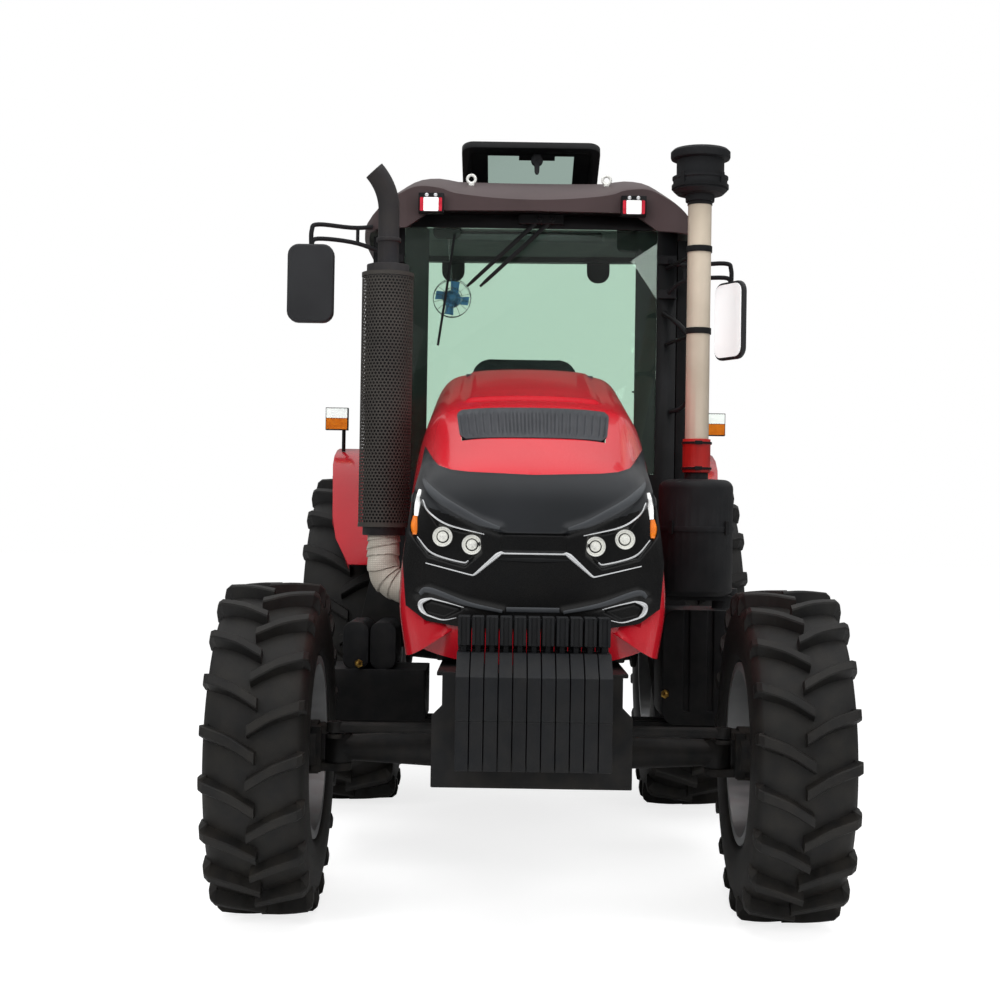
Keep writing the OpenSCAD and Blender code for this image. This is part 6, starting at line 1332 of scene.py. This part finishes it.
# %% Lenses
white_lens, red_lens, amber_lens, lamp_bolts = bmesh.new(), bmesh.new(), bmesh.new(), bmesh.new()
for s in (1, -1):
    for y, out in ((-0.36, -1), (1.85, 1)):
        x0, x1 = sorted((s * 0.41, s * 0.51))
        facing_plate(white_lens, round_outline(x0 + 0.016, 2.924, x1 - 0.016, 2.986, 0.004), y, y + 0.007 * out)
        for a, b in ((x0, x0 + 0.015), (x1 - 0.015, x1)):
            facing_plate(red_lens, round_outline(a, 2.924, b, 2.986, 0.005), y, y + 0.006 * out)
        for x in (s * 0.44, s * 0.48):
            turned(lamp_bolts, [(y, 0.001), (y, 0.009), (y + 0.005 * out, 0.008), (y + 0.008 * out, 0.001)], 12,
                   (x, 0, 2.998), "Y")
    x0, x1 = sorted((s * 0.954, s * 1.066))
    for lens, z0, z1 in ((white_lens, 2.064, 2.116), (amber_lens, 2.004, 2.062)):
        for i in range(8):
            a, b = x0 + (x1 - x0) * i / 8, x0 + (x1 - x0) * (i + 1) / 8
            for y, out in ((1.0, -1), (1.046, 1)):
                facing_plate(lens, round_outline(a, z0, b, z1, 0.003, 2), y, y + 0.005 * out)
tail_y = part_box("lamps")[1][1]
for s in (1, -1):
    for lens, a, b in ((red_lens, 0.862, 1.008), (amber_lens, 0.787, 0.858)):
        x0, x1 = sorted((s * a, s * b))
        for i in range(4):
            z = 1.484 + 0.023 * i
            facing_plate(lens, round_outline(x0, z, x1, z + 0.022, 0.004, 2), tail_y, tail_y + 0.006)
for name, bm, mat in (("white_lenses", white_lens, lamp_white), ("red_lenses", red_lens, lamp_red),
                      ("amber_lenses", amber_lens, lamp_amber), ("lamp_bolts", lamp_bolts, chrome)):
    keep(name, smooth_mesh(bm), mat, "chassis", "lamp_plastic")
print("lenses laid")

# %% [markdown]
# Each mirror is a moulded case with its glass set in, on two bent tubes from the front pillar. The left one is folded,
# so its glass looks forward; the glass glows near white, a painted reflection of the white sky.

# %% Mirrors
cases, glasses = bmesh.new(), bmesh.new()
mirror_y, foot_y = -0.35, -0.158
case_outline = round_outline(-0.105, 0, 0.105, 0.355, 0.05)
glass_outline = round_outline(-0.094, 0.012, 0.094, 0.343, 0.04)
for x, z, turn, out, thick in ((-1.0, 2.41, 0, 1, 0.03), (0.906, 2.27, -60, -1, 0.014)):
    place, spin = Vector((x, mirror_y, z)), Matrix.Rotation(math.radians(turn), 3, "Z")
    for bm, outline, y, depth in ((cases, case_outline, -thick, 2 * thick),
                                  (glasses, glass_outline, thick * out, 0.003 * out)):
        extruded(bm, [place + spin @ Vector((u, y, v)) for u, v in outline], spin @ Vector((0, depth, 0)))
soft_piece("mirror_cases", cases, mirror_case, "chassis", "black_plastic", 0.01, "mirrors", segments=3)
keep("mirror_glasses", smooth_mesh(glasses), mirror_glass_painted_sky, "chassis", "dark_glass")
tubes, feet = [], bmesh.new()
for s, x, drop in ((-1, 1.0, 0), (1, 0.906, 0.15)):
    outer, inner = s * x, s * (x - 0.2)
    for z0, z1, z2 in ((2.86, 2.862, 2.9), (2.795, 2.79, 2.74)):
        line = [(outer, mirror_y, 2.74), (outer, mirror_y, z0 - 0.03), (s * (x - 0.03), -0.336, z0),
                (inner, -0.25, z1), (s * 0.635, foot_y, z2)]
        tubes.append((curve_through(line, 6) - np.array([0, 0, drop]), 0.0105))
        slab(feet, (s * 0.592, -0.172, z2 - drop - 0.02), (s * 0.678, -0.15, z2 - drop + 0.02))
    tubes.append(([(inner, -0.25, 2.862 - drop), (inner, -0.25, 2.79 - drop)], 0.008))
strips("mirror_tubes", tubes, 1, black_plastic, "chassis", "black_plastic", (0.2, 1, 0.1))
soft_piece("mirror_feet", feet, black_plastic, "chassis", "black_plastic", 0.003)
print("mirror tubes:", len(tubes))

# %% [markdown]
# ## Clamps, clips and latches
# Bands hold the air cleaner, the hose and the pre-cleaner together. Each is a ring with an over-centre clip or a
# worm screw at one side. They are turned about the pipe's own axis, and so is the stepped bowl of the pre-cleaner.

# %% Bands and clips
pipe = (0.722, -0.68)
bands, clips = bmesh.new(), bmesh.new()

def band(bm, place, z, radius, height, thick=0.003):
    inner, outer = radius - 0.001, radius + thick
    turned(bm, [(z, inner), (z, outer), (z + height, outer), (z + height, inner)], 48, (*place, 0), "Z")

for z in (1.758, 1.868):
    band(bands, pipe, z, 0.063, 0.01)
    slab(clips, (pipe[0] - 0.016, pipe[1] - 0.08, z - 0.003), (pipe[0] + 0.016, pipe[1] - 0.064, z + 0.013))
band(bands, pipe, 2.905, 0.051, 0.014)
low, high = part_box("pre_cleaner")
bowl = bmesh.new()
turned(bowl, [(low[2], 0.001), (low[2], 0.062), (2.946, 0.064), (2.952, 0.1), (2.968, 0.117), (3.012, 0.117),
              (3.016, 0.121), (3.026, 0.121), (3.03, 0.103), (3.098, 0.103), (3.104, 0.126), (3.112, 0.129),
              (3.134, 0.129), (high[2], 0.118), (high[2], 0.001)], 64, (*pipe, 0), "Z")
keep("pre_cleaner_bowl", smooth_mesh(bowl, 25), black_plastic, "chassis", "black_plastic", "pre_cleaner")
band(bands, pipe, 2.975, 0.1205, 0.016)
band(bands, pipe, low[2] + 0.03, 0.058, 0.012)
for i in range(4):
    a = math.radians(45 + 90 * i)
    out, side = Vector((math.cos(a), math.sin(a), 0)), Vector((-math.sin(a), math.cos(a), 0))
    for radius, z, tall in ((0.119, 2.975, 0.06), (0.167, 1.478, 0.06)):
        at = Vector((*pipe, z)) + out * radius
        corners = ((-0.011, 0), (0.011, 0), (0.011, 0.006), (-0.011, 0.006))
        extruded(clips, [at + w * side + d * out for w, d in corners], (0, 0, tall))
keep("pipe_bands", smooth_mesh(bands), frame_black, "chassis", "black_paint")
soft_piece("band_clips", clips, black_paint, "chassis", "black_paint", 0.002)
print("bands and clips set")

# %% Brass fittings
brass_bits, fitting_y = bmesh.new(), -0.56
fitting = [(0, 0.001), (0, 0.0192), (-0.009, 0.0192), (-0.0105, 0.0128), (-0.024, 0.0128), (-0.03, 0.001)]
for x, z in ((-0.735, 0.888), (0.612, 0.775)):
    turned(brass_bits, fitting, 6, (x, fitting_y, z), "Y")
keep("brass_fittings", smooth_mesh(brass_bits, 25), brass, "chassis", "bright_steel")
print("brass fittings:", 2)

# %% [markdown]
# ## Under the vent and behind the bonnet
# A plain dark sheet lies under the vent's ribs: painted shade that darkens the gaps between them. At the back, two
# pins on webs hang the bonnet on its posts.

# %% Vent shade sheet and bonnet pins
shade_sheet_room, shade_sheet_depth = 0.004, 0.03
rows, columns = np.linspace(vent_y0 + shade_sheet_room, vent_y1 - shade_sheet_room, 8), np.linspace(-1, 1, 24)
wide = np.interp(rows, [vent_y0, vent_y1], vent_half) - shade_sheet_room
shade_sheet = at_points(columns * wide[:, None], rows[:, None], top_line(rows)[:, None] - shade_sheet_depth)
# A plain black sheet with no holes: painted shade under the vent's ribs.
keep("vent_screen", thick_mesh(grid_mesh(shade_sheet), 0.003), black_plastic, "bonnet", "grille_plastic")
pins = bmesh.new()
for s in (1, -1):
    turned(pins, [(s * 0.18, 0.001), (s * 0.18, 0.014), (s * 0.29, 0.014), (s * 0.29, 0.001)], 24, (0, -0.25, 2.14))
    slab(pins, (s * 0.26, -0.264, 2.14), (s * 0.29, -0.236, 2.196))
soft_piece("bonnet_pins", pins, bright_steel, "bonnet", "bright_steel", 0.002)
print("vent screen rows:", len(rows))

# %% [markdown]
# ## Bolts
# Bolt heads show where castings and plates are joined. One bolt is made, and the row tree sets it along a line. A bolt
# is built to point along +X, so it is turned towards its face first.

# %% Rows of bolts
def bolt_row(name, count, first, step, way, size):
    bm = bolt(size, size * 1.2)
    turn = Vector((1, 0, 0)).rotation_difference(Vector(way)).to_matrix().to_4x4()
    bmesh.ops.transform(bm, matrix=turn, verts=bm.verts)
    one = shape_object(name + "_one", bm)
    mesh = repeated(name, row_of_pieces, one, bright_steel, Count=count, First=first, Step=step)
    return keep(name, mesh, bright_steel, "chassis", "bright_steel")

for side, s in (("left", 1), ("right", -1)):
    bolt_row("support_bolts_" + side, 6, (s * 0.22, -2.05, 0.93), (0, 0.16, 0), (s, 0, 0), 0.013)
print("bolt rows set")
